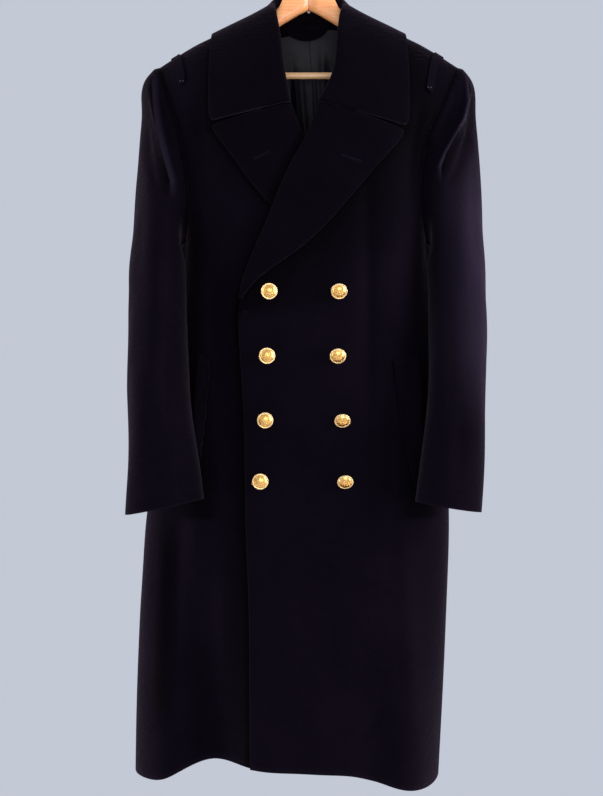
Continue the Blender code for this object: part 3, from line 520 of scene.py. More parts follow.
def off_armhole(points, ease=ARMHOLE_EASE):
    """0 at the armhole's seam and 1 well away from it."""
    return smooth(np.clip(from_armhole(points) / ease - 0.1, 0, 1))


def hang_panel(piece, panel_folds, outwards, size, height):
    """Press folds and a slight unevenness into a panel. Outwards is -1 in front and 1 at the back."""
    points, _ = points_of(piece)
    rise = fold_rise(points[:, [0, 2]], panel_folds) + ripple(points * (1, 0, 0.4), size, height)
    fade = np.clip((outwards * points[:, 1] - PANEL_FROM) / PANEL_OVER, 0, 1) * off_armhole(points)
    points[:, 1] += outwards * rise * fade
    move_points(piece, points)


def hang_front(piece):
    hang_panel(piece, FRONT_FOLDS, -1, 46.0, 1.3)


def hang_back(piece):
    hang_panel(piece, BACK_FOLDS, 1, 52.0, 1.6)


def thicken(piece, wall, round_off=0.8):
    """Give the cloth its wall, inwards, and round its edges off."""
    body = piece.modifiers.new("wall", "SOLIDIFY")
    body.thickness = wall * MM
    body.offset = -1
    edges = piece.modifiers.new("rounded_edges", "BEVEL")
    edges.width = round_off * MM
    edges.segments = 2
    edges.limit_method = "ANGLE"
    edges.angle_limit = math.radians(55)


def cloth_piece(
    node, finish, levels, hang=None, soft_corners=False, sewn=None, wall=WOOL_WALL,
    edge_reach=4.0,
):
    """A finished piece of cloth in place of a CAD wall."""
    piece = add_piece(f"coat_{node}", outer_face(node))
    smooth_out(piece, levels, soft_corners)
    if hang:
        hang(piece)
    mark_edges(piece, edge_reach, sewn)
    thicken(piece, wall)
    piece.data.materials.clear()
    piece.data.materials.append(finish)
    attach(piece, "root")
    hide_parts(node)
    return piece


# Lines beside which painted shade is laid: the shadows that lapped edges, rolls, sleeves, folds and welts
# cast on the cloth.
OVER_OUTLINE = (  # x and z of the edges that lie on the over front: lapel, then collar
    (-108, -560), (-101, -549), (-72, -519), (-15, -480), (35, -433), (78, -382), (112, -342), (141, -305),
    (150, -298), (151, -140),
)
UNDER_OUTLINE = (  # those that lie on the under front: the over front's edge, its lapel, lapel and collar
    (-88, -1290), (-89, -1131), (-89.5, -1027), (-92, -958), (-95.5, -885), (-96.5, -790), (-99, -712),
    (-103.5, -635), (-109, -583), (-107, -555), (-93, -510), (-57, -420), (-60, -412), (-83, -384),
    (-118, -335), (-142, -302), (-150, -296), (-151, -140),
)
SKIRT_HOLLOW = ((-214, -930), (-218, -1040), (-222, -1160))  # painted shade of the deep fold beside the under front's edge
WELT_INSIDE = {  # the inner edges of the pocket welts, which are stitched down in a groove that gets painted shade
    LEFT: ((-166.5, -812), (-162, -780), (-158, -745), (-154, -705), (-150.8, -668), (-148.5, -646)),
    RIGHT: ((154, -812), (147, -780), (141, -745), (135, -705), (129.6, -668), (128, -646)),
}
# The over lapel's roll edge, whose painted shadow lies on the under lapel.
OVER_ROLL = ((-93, -510), (-53, -413), (-44.3, -391), (-24.5, -347), (-6.9, -316), (4.5, -298), (17.4, -259))
# The sleeves' inner sides, with painted shade between them and the body.
SLEEVE_INSIDE = {
    LEFT: ((-152, -880), (-158, -830), (-168, -735), (-175, -675), (-179, -600), (-176, -460), (-184, -420)),
    RIGHT: ((152, -880), (158, -830), (165, -735), (171, -675), (180, -600), (178, -460), (186, -420)),
}


NECK_HALF = 72.0  # edges nearer the middle than this are free
HEM_FROM = -1235.0  # and those below this height
FRONT_EDGE = 125.0  # the front edges reach out this far, below the lapels
LAPEL_END = -480.0


def is_sewn(point):
    """Whether a point of an edge is sewn: to a side seam, a sleeve, the other half or the shoulder."""
    on_front_edge = abs(point.x) < FRONT_EDGE and point.y < 0 and point.z < LAPEL_END
    return abs(point.x) > NECK_HALF and point.z > HEM_FROM and not on_front_edge


navy_melton = wool("navy_melton")
# Painted shade on each front: a dark line beside the edges that lie on it, a wider painted shade beyond, and
# painted shade beside the sleeve, the welt and, on the under front, the skirt's fold.
over_melton = wool("navy_melton_over", (
    Shade(OVER_OUTLINE, RIGHT, 9.0, 0.95), Shade(OVER_OUTLINE, RIGHT, 170.0, 0.75),
    Shade(SLEEVE_INSIDE[RIGHT], LEFT, 26.0, 0.7, NAVY_DEEP, 60.0, 8.0),
    Shade(WELT_INSIDE[RIGHT], LEFT, 3.4, 0.95, NAVY_DEEP, 30.0, 3.0),
))
under_melton = wool("navy_melton_under", (
    Shade(UNDER_OUTLINE, LEFT, 10.0, 0.95), Shade(UNDER_OUTLINE, LEFT, 46.0, 0.50),
    Shade(SLEEVE_INSIDE[LEFT], RIGHT, 26.0, 0.7, NAVY_DEEP, 60.0, 8.0),
    Shade(SKIRT_HOLLOW, RIGHT, 24.0, 0.6, NAVY_DEEP, 18.0, 60.0),
    Shade(WELT_INSIDE[LEFT], RIGHT, 3.4, 0.95, NAVY_DEEP, 30.0, 3.0),
))
front_over = cloth_piece("front_over", over_melton, 2, hang_front, sewn=is_sewn)
front_under = cloth_piece("front_under", under_melton, 2, hang_front, sewn=is_sewn)
for front in (front_over, front_under):
    store_nearness(front, "armhole", armhole_edge, ARMHOLE_GROOVE)

# ---------------------------------------- back
# The back is cut in two halves with a seam down the middle. The photograph doesn't show it, so it is
# plain: long soft flutes that open towards the hem, like those of the fronts.

for side, area in (("left", 0.296), ("right", 0.269)):
    back = cloth_piece(
        f"back_{side}", navy_melton, 2, hang_back, sewn=lambda point: point.z > HEM_FROM,
    )

# ---------------------------------------- sleeves
# Two-piece sleeves of the same melton, eased into the armholes, so that the head stands a little
# proud. The empty sleeve falls forward, with a crease down from the head and slack at the elbow.

SLEEVE_FOLDS = {
    LEFT: folds([
        (-240, -200, -242, -262, -208, -372, 5.4, 8.5),
        (-226, -226, -222, -280, -200, -340, 9, -6.0),
        (-258, -236, -254, -310, -226, -400, 9, -5.0),
        (-262, -300, -258, -420, -262, -560, 14, -3.0),
        (-232, -440, -226, -560, -232, -680, 15, 3.4),
        (-204, -560, -212, -640, -206, -760, 12, -3.0),
        (-258, -640, -246, -700, -250, -800, 14, 2.6),
        (-226, -700, -236, -770, -228, -850, 12, -2.4),
    ]),
    RIGHT: folds([
        (240, -200, 254, -268, 190, -354, 4.6, 9.5),
        (224, -226, 220, -264, 188, -312, 8, -6.0),
        (256, -244, 250, -316, 206, -384, 8, -7.5),
        (258, -300, 252, -420, 258, -560, 14, -3.0),
        (238, -330, 226, -430, 236, -560, 13, 3.6),
        (200, -560, 208, -640, 198, -760, 12, -3.0),
        (250, -620, 240, -700, 242, -810, 14, 2.6),
        (216, -680, 222, -760, 214, -850, 12, -2.4),
    ]),
}
HEAD_HEIGHT = -214.0  # where the sleeve head stands out most
HEAD_FULLNESS = {LEFT: 9.0, RIGHT: 8.5}
HEAD_EASE = 9.0  # the head's fullness starts this close to the seam
SEAM_PLUMP = 1.4  # the seam allowances fill the top of the head out, beside the seam
PLUMP_AT, PLUMP_WIDTH = 5.0, 9.0
HEAD_SPREAD = 34.0  # how far up and down the head's fullness reaches
LAP, LAP_RISE = 2.2, 1.3  # at its top the head laps the panels' edge by this much, and stands higher
LAP_FROM, LAP_OVER = -238.0, 20.0
SEAM_STAND = 0.4  # below that it stands off their edge
AT_ARMHOLE = 16.0  # panel edges this near the armhole are sewn to the sleeve
ALLOWANCE = ((0.6, 2.8), (7.0, 3.4))  # of the sleeve's seam: across towards the body, and inwards
ALLOWANCE_DROP = 60.0  # inwards is towards a line this far below
FOLD_GAIN, FOLD_BACK = 1.6, -0.5  # folds are full where the sleeve faces the front, and reversed behind
BODY_SIDE, BODY_EASE = 0.8, 0.4  # and fade out where it faces the body

# Lines of painted light on the sleeves: a painted highlight down the right sleeve's outer side, and along
# each head's crease a painted highlight on its crest with painted shade outside.
SLEEVE_OUTSIDE = ((284, -640), (283, -560), (281, -480), (277, -420))
RIGHT_CREASE = ((245, -222), (246, -246), (238, -276), (222, -302), (206, -330), (199, -350))
LEFT_CREASE = ((-239, -218), (-236, -250), (-230, -290), (-220, -330), (-208, -372))


def turn_in_seam(piece, side):
    """Lay the seam allowance at the armhole in under the body panels, as it is in a sewn coat."""
    cloth = mesh_of(piece)
    rim = [e for e in cloth.edges if e.is_boundary and e.verts[0].co.z > UNDERARM * MM]
    for across, inwards in ALLOWANCE:
        made = bmesh.ops.extrude_edge_only(cloth, edges=rim)["geom"]
        for point in (g for g in made if isinstance(g, bmesh.types.BMVert)):
            centre = Vector((0, 0, point.co.z - ALLOWANCE_DROP * MM)) - point.co
            centre.x = 0
            point.co += centre.normalized() * inwards * MM - Vector((side * across * MM, 0, 0))
        rim = [g for g in made if isinstance(g, bmesh.types.BMEdge) and g.is_boundary]
    bmesh.ops.recalc_face_normals(cloth, faces=cloth.faces)
    cloth.to_mesh(piece.data)
    cloth.free()
    piece.data.polygons.foreach_set("use_smooth", [True] * len(piece.data.polygons))


def sew_to_panels(piece, side, reach=34.0):
    """Bring a sleeve's edge onto the armhole of the finished panels, and what is near it along."""
    targets = []
    word = "over" if side == RIGHT else "under"
    back = "right" if side == RIGHT else "left"
    for panel in (bpy.data.objects[f"coat_front_{word}"], bpy.data.objects[f"coat_back_{back}"]):
        cloth = mesh_of(panel)
        for edge in cloth.edges:
            start, end = (v.co for v in edge.verts)
            near = armhole.find(start)[2] < AT_ARMHOLE * MM and start.z > (UNDERARM + 3) * MM
            if edge.is_boundary and near:
                targets += [start.lerp(end, i / 3) for i in range(3)]
        cloth.free()
    sewn = tree_of(targets)
    cloth = mesh_of(piece)
    rim = {v for e in cloth.edges if e.is_boundary and e.verts[0].co.z > UNDERARM * MM for v in e.verts}
    pulls = []
    for point in rim:
        top = min(max((point.co.z / MM - LAP_FROM) / LAP_OVER, 0.0), 1.0)
        lap = Vector((side * (SEAM_STAND - LAP * top), 0, LAP_RISE * top)) * MM
        pulls.append((point.co.copy(), sewn.find(point.co)[0] - point.co + lap))
    ring = tree_of([place for place, _ in pulls])
    for point in cloth.verts:
        _, i, away = ring.find(point.co)
        point.co += pulls[i][1] * smooth(max(0.0, 1 - away / (reach * MM)))
    cloth.to_mesh(piece.data)
    cloth.free()


def hang_sleeve(side):
    def hang(piece):
        points, normals = points_of(piece)
        facing_front = np.clip(-normals[:, 1] * FOLD_GAIN, FOLD_BACK, 1)
        rise = fold_rise(points[:, [0, 2]], SLEEVE_FOLDS[side]) * facing_front
        rise += ripple(points * (1, 1, 0.45), 40.0, 1.8)
        outwards = side * normals[:, 0]
        head = np.exp(-((points[:, 2] - HEAD_HEIGHT) / HEAD_SPREAD) ** 2)
        fullness = HEAD_FULLNESS[side] * np.clip(outwards, 0, 1) * head
        rise = rise * off_armhole(points) + fullness * off_armhole(points, HEAD_EASE)
        plump = np.exp(-((from_armhole(points) - PLUMP_AT) / PLUMP_WIDTH) ** 2)
        rise += SEAM_PLUMP * np.clip(normals[:, 2] * 1.5, 0, 1) * plump
        off_body = np.clip((outwards + BODY_SIDE) / BODY_EASE, 0, 1)
        points += normals * (rise * off_body)[:, None]
        move_points(piece, points)
        sew_to_panels(piece, side)
        turn_in_seam(piece, side)
    return hang


# Each sleeve gets the painted shade and painted highlight of its crease; the left one painted shade on its
# inner side, the right one a painted highlight down its outer side.
sleeve_melton = {
    LEFT: wool("navy_melton_sleeve_left", (
        Shade(LEFT_CREASE, LEFT, 22.0, 0.85, NAVY_DEEP, 2.0),
        Shade(LEFT_CREASE, RIGHT, 8.0, 0.5, NAVY_LIT, 4.0),
        Shade(SLEEVE_INSIDE[LEFT], LEFT, 34.0, 0.6),
    )),
    RIGHT: wool("navy_melton_sleeve_right", (
        Shade(SLEEVE_OUTSIDE, LEFT, 96.0, 0.7, NAVY_LIT, 60.0, 110.0),
        Shade(RIGHT_CREASE, RIGHT, 26.0, 0.95, NAVY_DEEP, 2.0),
        Shade(RIGHT_CREASE, LEFT, 4.0, 0.7, NAVY_LIT, 3.0),
    )),
}
for side, word in ((LEFT, "left"), (RIGHT, "right")):
    sleeve = cloth_piece(
        f"sleeve_{word}", sleeve_melton[side], 3, hang_sleeve(side),
        sewn=lambda point: point.z > UNDERARM - 10,
    )
    store_nearness(sleeve, "armhole", armhole_edge, ARMHOLE_GROOVE)

# ---------------------------------------- lapels
# Wide pointed lapels, two layers of melton with a bagged edge, rolled over from the front edge. Each
# has a keyhole buttonhole worked across its upper part.

LAPEL_TIP = {LEFT: (-144.0, -296.0), RIGHT: (142.0, -302.0)}
LAPEL_LIFT, COLLAR_LIFT = (90.0, 6.0), (100.0, 8.0)  # how far in the corners stand off, and how much
COLLAR_TIP = {LEFT: (-149.0, -284.0), RIGHT: (149.0, -291.0)}


def lift_tip(tips, reach, height):
    """Folds of the front, and corners that stand off it a little."""
    def hang(piece):
        hang_front(piece)
        points, _ = points_of(piece)
        for x, z in tips:
            away = np.hypot(points[:, 0] - x, points[:, 2] - z)
            points[:, 1] -= height * np.clip(1 - away / reach, 0, 1) ** 2 * (points[:, 1] < -30)
        move_points(piece, points)
    return hang


GORGE_HALF, GORGE_LOWEST = 70.0, -280.0  # the seam between lapel and collar ends here


def at_gorge(point):
    """Whether a point of a lapel's or the collar's edge lies in the seam between them."""
    return abs(point.x) < GORGE_HALF and point.z > GORGE_LOWEST


THREAD = (0.0075, 0.0058, 0.0105, 1.0)
KNOT_THREAD = (0.062, 0.055, 0.072, 1.0)
STITCH = (0.75, 0.40, 0.30)  # half its length, width and height
KEYHOLES = {  # the eyelet and the other end of each buttonhole, by x and z
    "over": ((75.9, -347.4), (49.8, -338.6)),
    "under": ((-81.0, -341.9), (-59.2, -331.5)),
}
EYELET_RADIUS, EYELET_STITCHES = 2.0, 11
EYELET_OPEN = 35  # degrees that are left open on either side of the slit
PURL_FROM, PURL_STEP, PURL_SIDE = 2.2, 1.0, 0.95


def thread(name, colour):
    made, tree, shader = start_material(name)
    set_inputs(tree, shader, Base_Color=colour, Roughness=0.8, Specular_IOR_Level=0.03)
    return made


def add_bead(builder, size, matrix):
    made = bmesh.ops.create_uvsphere(builder, u_segments=10, v_segments=6, radius=1.0)
    bmesh.ops.transform(builder, verts=made["verts"], matrix=matrix @ Matrix.Diagonal((*size, 1)))


def lay_stitches(name, carrier, places, size, finish):
    """Small raised stitches on a piece: places has x, z and slope of each, as seen from the front."""
    mesh = carrier.data
    skin = BVHTree.FromPolygons([v.co for v in mesh.vertices], [p.vertices for p in mesh.polygons])
    builder = bmesh.new()
    for x, z, slope in places:
        seat, normal, _, _ = skin.ray_cast(Vector((x * MM, -1, z * MM)), Vector((0, 1, 0)))
        if seat is None:
            continue
        normal = normal if normal.y < 0 else -normal
        along = Vector((math.cos(slope), 0, math.sin(slope)))
        along = (along - normal * along.dot(normal)).normalized()
        turn = Matrix((along, normal.cross(along), normal)).transposed().to_4x4()
        add_bead(builder, size, Matrix.Translation(seat / MM) @ turn)
    bmesh.ops.scale(builder, verts=builder.verts, vec=(MM, MM, MM))
    stitches = add_piece(name, builder)
    stitches.data.materials.append(finish)
    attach(stitches, "root")
    return stitches


def keyhole(eye, end):
    """The stitches of a keyhole buttonhole: both sides, round the eyelet, and the tack at its end."""
    eye, end = np.array(eye), np.array(end)
    length = np.linalg.norm(end - eye)
    along = (end - eye) / length
    across = np.array((-along[1], along[0]))
    slope = math.atan2(across[1], across[0])
    places = []
    for run in np.arange(PURL_FROM, length, PURL_STEP):
        places += [(*(eye + along * run + across * off), slope) for off in (-PURL_SIDE, PURL_SIDE)]
    for i in range(EYELET_STITCHES):
        turn = math.radians(EYELET_OPEN + (360 - 2 * EYELET_OPEN) * i / (EYELET_STITCHES - 1))
        out = along * math.cos(turn) + across * math.sin(turn)
        places.append((*(eye + out * EYELET_RADIUS), math.atan2(out[1], out[0])))
    places += [(*(end + along * step), slope) for step in (0.0, 0.8)]
    return places


COLLAR_SHADE = 0.35  # collar and lapels are painted darker all over: painted shade on the coat's upper part
collar_melton = wool("navy_melton_collar", painted_darkness=COLLAR_SHADE)
# The under lapel gets the painted shadow of the over lapel's roll edge.
lapel_melton = wool("navy_melton_lapel", (Shade(OVER_ROLL, LEFT, 20.0, 0.92),), painted_darkness=COLLAR_SHADE)
navy_thread = thread("navy_thread", THREAD)
LAPEL_FOOT = -552.0  # height at which the over lapel runs out into the front's edge
FOOT_SHIFT, FOOT_PRESS, FOOT_REACH = 2.2, 1.2, 16.0  # sideways, inwards, and how far up


def hang_over_lapel(piece):
    lift_tip([LAPEL_TIP[RIGHT]], *LAPEL_LIFT)(piece)
    points, _ = points_of(piece)
    foot = np.exp(-((points[:, 2] - LAPEL_FOOT) / FOOT_REACH) ** 2)
    points[:, 0] += FOOT_SHIFT * foot
    points[:, 1] += FOOT_PRESS * foot
    move_points(piece, points)


lapel_over = cloth_piece("lapel_over", collar_melton, 3, hang_over_lapel, True, at_gorge)
lapel_under = cloth_piece(
    "lapel_under", lapel_melton, 3, lift_tip([LAPEL_TIP[LEFT]], *LAPEL_LIFT), True, at_gorge,
)
for word, lapel in (("over", lapel_over), ("under", lapel_under)):
    lay_stitches(f"coat_keyhole_{word}", lapel, keyhole(*KEYHOLES[word]), STITCH, navy_thread)
EDGE_TACK = [(-96.5 + step, -573.0, math.pi / 2) for step in (0.0, 1.0, 2.0)]
lay_stitches("coat_edge_tack", front_over, EDGE_TACK, (1.6, 0.5, 0.4), navy_thread)

# ---------------------------------------- collar
# A wide fall collar with a stand, of the same melton, stiffened inside and turned over all round.

collar = cloth_piece(
    "collar", collar_melton, 3, lift_tip(COLLAR_TIP.values(), *COLLAR_LIFT), True, at_gorge,
)

# ---------------------------------------- pocket welts
# Slanted side pockets end in a welt of melton, stitched down on the front at its edges.

WELT_STITCHES = {  # beside the inner edge and under the top edge, by x and z
    "left": ((154.5, -690), (151.9, -658), (158, -655), (165, -652)),
    "right": (
        (157, -800), (147.5, -762), (139.5, -716), (133.0, -672), (131.8, -657.5), (146, -654), (162, -650),
    ),
}
STITCH_STEP = 3.2


def along_line(line, step):
    """Places for stitches that follow a line of x and z."""
    places = []
    for (x, z), (to_x, to_z) in zip(line, line[1:]):
        length = math.hypot(to_x - x, to_z - z)
        count = max(1, round(length / step))
        slope = math.atan2(to_z - z, to_x - x)
        places += [(x + (to_x - x) * i / count, z + (to_z - z) * i / count, slope) for i in range(count)]
    return places


# Painted shade in the grooves along the welts' edges; the near-black thread of the welt and half-moon
# stitches stands for the shade of their grooves.
welt_melton = wool("navy_melton_welt", at_edge=NAVY_DEEP)
dark_thread = thread("dark_thread", NAVY_DEEP)
for side, panel, width, area in (("left", "under", 0.022, 0.0035), ("right", "over", 0.04, 0.0063)):
    welt = cloth_piece(f"pocket_welt_{side}", welt_melton, 3, hang_front, edge_reach=2.2)
    line = [(x * (LEFT if side == "left" else RIGHT), z) for x, z in WELT_STITCHES[side]]
    lay_stitches(
        f"coat_welt_stitches_{side}", welt, along_line(line, STITCH_STEP), (1.3, 0.5, 0.4), dark_thread,
    )

# ---------------------------------------- loops on the shoulders
# A narrow strip of melton over each shoulder holds a shoulder board. It is tacked down at its ends.

TIP_DEPTH = 4.0
KNOTS = ((-2.6, 0.6), (1.8, 0.6))  # across and up from the middle of the front end
LOOP_SINK = 1.4  # the pressed strip lies this much flatter than its solid


def press_loop(piece):
    points, normals = points_of(piece)
    move_points(piece, points - normals * LOOP_SINK)


loop_melton = wool("navy_melton_loop", at_edge=NAVY)
knot_thread = thread("knot_thread", KNOT_THREAD)
for side in ("left", "right"):
    loop = cloth_piece(f"shoulder_loop_{side}", loop_melton, 2, press_loop, wall=0.5)
    points, _ = points_of(loop)
    tip = points[points[:, 1] < points[:, 1].min() + TIP_DEPTH].mean(axis=0)
    knots = [(tip[0] + across, tip[2] + up, math.radians(30)) for across, up in KNOTS]
    lay_stitches(f"coat_loop_knots_{side}", loop, knots, (1.5, 0.8, 0.7), knot_thread)

# ---------------------------------------- lining and neck facing
# The back is lined with charcoal satin, with a pleat down the middle for ease. A half-moon of the
# coat's own cloth is stitched over it at the neck, with a small loop to hang the coat by.

CHARCOAL = (0.0068, 0.0058, 0.0096, 1.0)
CHARCOAL_PALE = (0.0155, 0.0145, 0.0215, 1.0)
CHARCOAL_DEEP = (0.0004, 0.0003, 0.0006, 1.0)
SHADOW_FROM, SHADOW_FULL = -245.0, -300.0  # the lining darkens from this height down
LINING_TOP = 10.0  # how much higher the lining is caught in the neck seam than its solid
CAUGHT_FROM, CAUGHT_OVER = -165.0, 45.0  # it is drawn up from this height on, over this distance


def satin(name):
    made, tree, shader = start_material(name)
    place = place_of(tree)
    warp = speckle(tree, place_of(tree, (1, 1, 0.04)), 1700.0, 2.0)
    cloudy = spread(tree, speckle(tree, place, 30.0, 3.0), 0.35, 0.7)
    colour = blend(tree, cloudy, CHARCOAL, CHARCOAL_PALE)
    height = add_node(tree, "ShaderNodeSeparateXYZ", Vector=place).outputs["Z"]
    in_shadow = spread(tree, height, SHADOW_FROM * MM, SHADOW_FULL * MM)
    colour = blend(tree, in_shadow, colour, CHARCOAL_DEEP)
    bump = add_node(tree, "ShaderNodeBump", Strength=0.3, Distance=0.15 * MM, Height=warp)
    set_inputs(
        tree, shader, Base_Color=colour, Roughness=spread(tree, warp, 0.3, 0.7, 0.36, 0.5),
        Specular_IOR_Level=0.10, Sheen_Weight=0.02, Normal=bump.outputs["Normal"],
    )
    return made


LINING_FOLDS = folds([
    (-14, -170, -10, -230, -2, -320, 5, 2.2),
    (-28, -150, -24, -230, -14, -330, 7, -2.4),
    (9, -190, 12, -240, 15, -330, 3, 2.0),
    (22, -140, 24, -220, 27, -320, 6, 2.4),
    (36, -160, 38, -230, 40, -330, 7, -2.2),
])


def hang_lining(piece):
    points, _ = points_of(piece)
    points[:, 1] -= fold_rise(points[:, [0, 2]], LINING_FOLDS)
    points[:, 2] += LINING_TOP * np.clip((points[:, 2] - CAUGHT_FROM) / CAUGHT_OVER, 0, 1) ** 1.5
    move_points(piece, points)


charcoal_satin = satin("charcoal_satin")
for side, width, area in (("left", 0.108, 0.0203), ("right", 0.072, 0.0138)):
    lining = cloth_piece(
        f"lining_{side}", charcoal_satin, 4, hang_lining, wall=1.0,
    )

FACING_TOP, FACING_DEPTH = -105.5, 24.0
FACING_SAG = 7.0  # how much lower the half-moon reaches than its solid
STITCHED_HALF, STITCHED_CENTRE = 33.0, -4.0  # of the arc of stitches inside its edge
STITCHED_TOP, STITCHED_DROP, STITCHED_TURN = -109.0, 23.0, 1.45


def hang_facing(piece):
    points, _ = points_of(piece)
    points[:, 2] -= FACING_SAG * np.clip((FACING_TOP - points[:, 2]) / FACING_DEPTH, 0, 1)
    move_points(piece, points)


# Painted light: the half-moon is painted lighter all over, with painted shade in the groove along its edge.
FACING_LINE = ((-70, -150), (-71, -90))
facing_melton = wool(
    "navy_melton_facing", (Shade(FACING_LINE, RIGHT, 300.0, 0.8, NAVY_LIT),), at_edge=NAVY_DEEP,
)
facing = cloth_piece("neck_facing", facing_melton, 3, hang_facing, wall=1.5, edge_reach=2.0)
half_moon = [
    (STITCHED_CENTRE + STITCHED_HALF * math.sin(turn), STITCHED_TOP - STITCHED_DROP * math.cos(turn))
    for turn in np.linspace(-STITCHED_TURN, STITCHED_TURN, 25)
]
lay_stitches("coat_facing_stitches", facing, along_line(half_moon, STITCH_STEP), (1.2, 0.5, 0.4), dark_thread)
neck_loop = cloth_piece("neck_loop", navy_melton, 3, wall=1.2)

# ---------------------------------------- buttons
# Domed buttons stamped from gilt brass, with a roped rim and a plain rosette. Each hangs on a shank,
# and droops by its own angle.

GILT = (1.0, 0.78, 0.39, 1.0)
GILT_WARM = (0.96, 0.58, 0.17, 1.0)
GILT_DEEP = (0.42, 0.22, 0.05, 1.0)
BUTTON_RADIUS, BUTTON_RISE = 12.3, 7.4
BUTTON_STAND = 7.6  # from the cloth to the plate
DROOP_STAND = 0.28  # share of the lower rim's droop by which a button stands off further
SHANK_RADIUS, SHANK_SEAT = 2.0, 0.45
DOME_RADIUS, DOME_RISE, DOME_FOOT = 10.2, 4.0, 2.6
WARM_FROM, WARM_OVER = 11.6, 2.0  # from the dome's top; nearer than this the gilding is coloured warmer and darker than at the rim
BUTTONS = {
    "left": table("x z droop", [(-72.6, -826, 9), (-65.4, -735, 12), (-62.5, -639, 8), (-59.2, -543, 10)]),
    "right": table("x z droop", [(54.0, -826, 34), (49.8, -735, 36), (43.0, -639, 26), (44.7, -543, 23)]),
}
ROPE_TURNS, ROPE_RADIUS, ROPE_LEAN = 30, 11.25, 38
PETALS, PETAL_RADIUS, PETAL_LEAN = 8, 4.3, 14
POINT_RADIUS = 7.4  # small points stand between the petals
PEARLS, PEARL_RADIUS = 40, 9.15


def gilt(name):
    made, tree, shader = start_material(name)
    place = place_of(tree)
    tarnish = spread(tree, speckle(tree, place, 260.0, 3.0), 0.42, 0.72)
    colour = blend(tree, stored_value(tree, "middle"), GILT, GILT_WARM)
    colour = blend(tree, spread(tree, tarnish, 0, 1, 0.0, 0.18), colour, GILT_DEEP)
    grain = add_node(
        tree, "ShaderNodeBump", Strength=0.15, Distance=0.05 * MM, Height=speckle(tree, place, 2400.0),
    )
    set_inputs(
        tree, shader, Base_Color=colour, Metallic=1.0, Roughness=spread(tree, tarnish, 0, 1, 0.24, 0.42),
        Normal=grain.outputs["Normal"],
    )
    return made


def dome_height(radius):
    """Height of the dome's face at a distance from the button's middle, in millimetres."""
    inside = max(0.0, 1 - (radius / DOME_RADIUS) ** 2)
    return DOME_FOOT + DOME_RISE * inside ** 0.8


def around(i, count):
    return Matrix.Rotation(2 * math.pi * i / count, 4, "Z")


def set_bead(builder, turn, radius, lift, size, lean=Matrix()):
    """A bead on the button's face, at this distance from its middle."""
    place = Matrix.Translation((radius, 0, dome_height(radius) + lift))
    add_bead(builder, size, turn @ place @ lean)


def button_shape(shank):
    """One button, facing up: plate, dome, roped rim, rosette and shank."""
    builder = bmesh.new()
    profile = [(0.0, dome_height(0))]
    profile += [(r, dome_height(r)) for r in (1.5, 3, 4.5, 6, 7.4, 8.6, 9.5)]
    profile += [(10.1, 2.1), (10.6, 2.2), (11.4, 2.6), (12.0, 2.3), (BUTTON_RADIUS, 1.5), (12.0, 0.5)]
    profile += [(11.2, 0.1), (6.0, 0.0), (2.6, -0.2)]
    profile += [(SHANK_RADIUS, -1.2), (SHANK_RADIUS, -shank), (0.0, -shank)]
    verts = [builder.verts.new((r, 0, h)) for r, h in profile]
    edges = [builder.edges.new(pair) for pair in zip(verts, verts[1:])]
    bmesh.ops.spin(
        builder, geom=verts + edges, cent=(0, 0, 0), axis=(0, 0, 1), angle=2 * math.pi, steps=48,
        use_merge=True,
    )
    bmesh.ops.remove_doubles(builder, verts=builder.verts, dist=0.001)
    bmesh.ops.recalc_face_normals(builder, faces=builder.faces)
    lean = Matrix.Rotation(math.radians(ROPE_LEAN), 4, "Z")
    for i in range(ROPE_TURNS):
        set_bead(builder, around(i, ROPE_TURNS), ROPE_RADIUS, -0.1, (0.62, 1.35, 0.62), lean)
    lean = Matrix.Rotation(math.radians(PETAL_LEAN), 4, "Y")
    for i in range(PETALS):
        set_bead(builder, around(i, PETALS), PETAL_RADIUS, 0.1, (2.3, 1.15, 0.55), lean)
        set_bead(builder, around(i + 0.5, PETALS), POINT_RADIUS, 0.1, (0.8, 0.6, 0.45))
    for i in range(PEARLS):
        set_bead(builder, around(i, PEARLS), PEARL_RADIUS, 0.05, (0.42, 0.42, 0.34))
    set_bead(builder, Matrix(), 0, 0, (1.7, 1.7, 0.9))
    return builder


gilt_brass = gilt("gilt_brass")
for column, places in BUTTONS.items():
    for row, (x, z, droop) in enumerate(zip(*places.values()), start=1):
        node = f"button_{column}_{row}"
        lean = math.radians(droop)
        away = BUTTON_STAND + (BUTTON_RADIUS + 1) * math.sin(lean) * DROOP_STAND
        shank = (away - SHANK_SEAT - SHANK_RADIUS * math.sin(lean)) / math.cos(lean)
        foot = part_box(node)[1][1] / MM + SHANK_SEAT
        builder = button_shape(shank)
        turn = Matrix.Rotation(math.pi / 2 + lean, 4, "X") @ Matrix.Rotation(0.7 * row + x, 4, "Z")
        place = Matrix.Diagonal((MM, MM, MM, 1)) @ Matrix.Translation((x, foot - away, z)) @ turn
        bmesh.ops.transform(builder, verts=builder.verts, matrix=place)
        button = add_piece(f"coat_{node}", builder)
        middle = button.data.attributes.new("middle", "FLOAT", "POINT")
        centre = place @ Vector((0, 0, BUTTON_RISE))
        off_top = np.array([(v.co - centre).length / MM for v in button.data.vertices])
        middle.data.foreach_set("value", np.clip((WARM_FROM - off_top) / WARM_OVER, 0, 1))
        button.data.materials.append(gilt_brass)
        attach(button, "root")
        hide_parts(node)

# ---------------------------------------- hanger
# A shaped wooden hanger: two arms of varnished beech glued together in the middle, a round trouser
# bar, and a plated wire hook that is riveted below the joint.

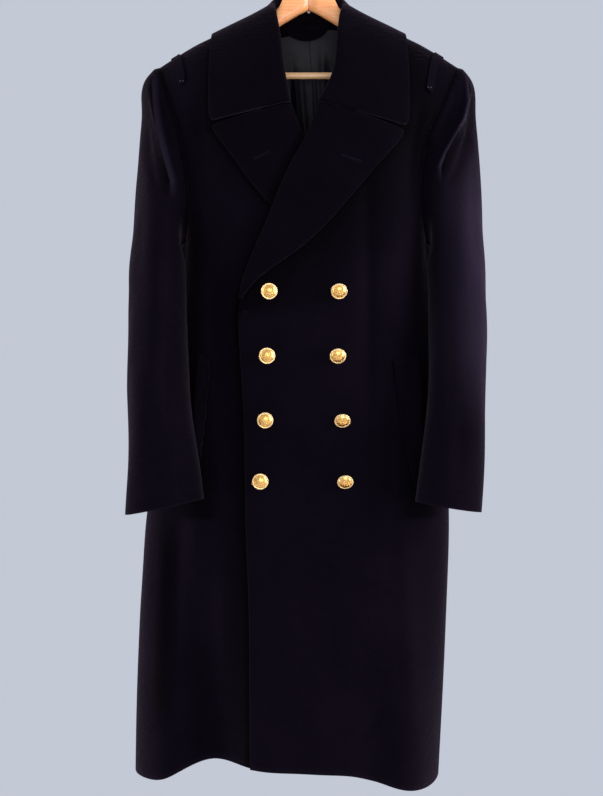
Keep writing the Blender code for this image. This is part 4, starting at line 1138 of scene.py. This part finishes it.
BEECH = (0.98, 0.335, 0.112, 1.0)
BEECH_PALE = (1.0, 0.53, 0.195, 1.0)
BAR_PALE = (1.0, 0.66, 0.36, 1.0)
BEECH_DARK = (0.34, 0.12, 0.03, 1.0)
STEEL = (0.62, 0.62, 0.60, 1.0)
ARM_SLOPE = 0.46  # of the arms' grain, in radians


def beech(name, turn, base=BEECH, streak=BEECH_PALE):
    """Varnished beech: long streaks along the grain, short dark flecks and a clear gloss."""
    made, tree, shader = start_material(name)
    along = place_of(tree, (0.06, 1, 1), turn)
    streaks = spread(tree, speckle(tree, along, 420.0, 4.0, 0.6), 0.3, 0.7)
    flecks = spread(tree, speckle(tree, place_of(tree, (0.12, 1, 1), turn), 1900.0, 2.0), 0.6, 0.72)
    colour = blend(tree, streaks, base, streak)
    colour = blend(tree, spread(tree, flecks, 0, 1, 0, 0.45), colour, BEECH_DARK)
    bump = add_node(tree, "ShaderNodeBump", Strength=0.2, Distance=0.1 * MM, Height=streaks)
    set_inputs(
        tree, shader, Base_Color=colour, Roughness=0.42, Coat_Weight=0.35, Coat_Roughness=0.18,
        Normal=bump.outputs["Normal"],
    )
    return made


def plated(name):
    made, tree, shader = start_material(name)
    scratches = speckle(tree, place_of(tree, (1, 1, 0.1)), 900.0, 2.0)
    set_inputs(
        tree, shader, Base_Color=STEEL, Metallic=1.0, Roughness=spread(tree, scratches, 0.3, 0.7, 0.16, 0.34),
    )
    return made


bar_wood = beech("beech_bar", (0, 0, 0), BEECH_PALE, BAR_PALE)
for word, tilt in (("left", ARM_SLOPE), ("right", -ARM_SLOPE)):
    arm_piece = add_piece(f"hanger_wood_arm_{word}", solid_of(f"hanger_arm_{word}"))
    arm_piece.data.materials.clear()
    arm_piece.data.materials.append(beech(f"beech_{word}", (0, tilt, 0)))
    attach(arm_piece, "root")
    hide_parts(f"hanger_arm_{word}")
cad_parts["hanger_bar"].material_slots[0].material = bar_wood
wire = plated("plated_wire")
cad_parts["hanger_hook"].material_slots[0].material = wire
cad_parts["hanger_nut"].material_slots[0].material = wire
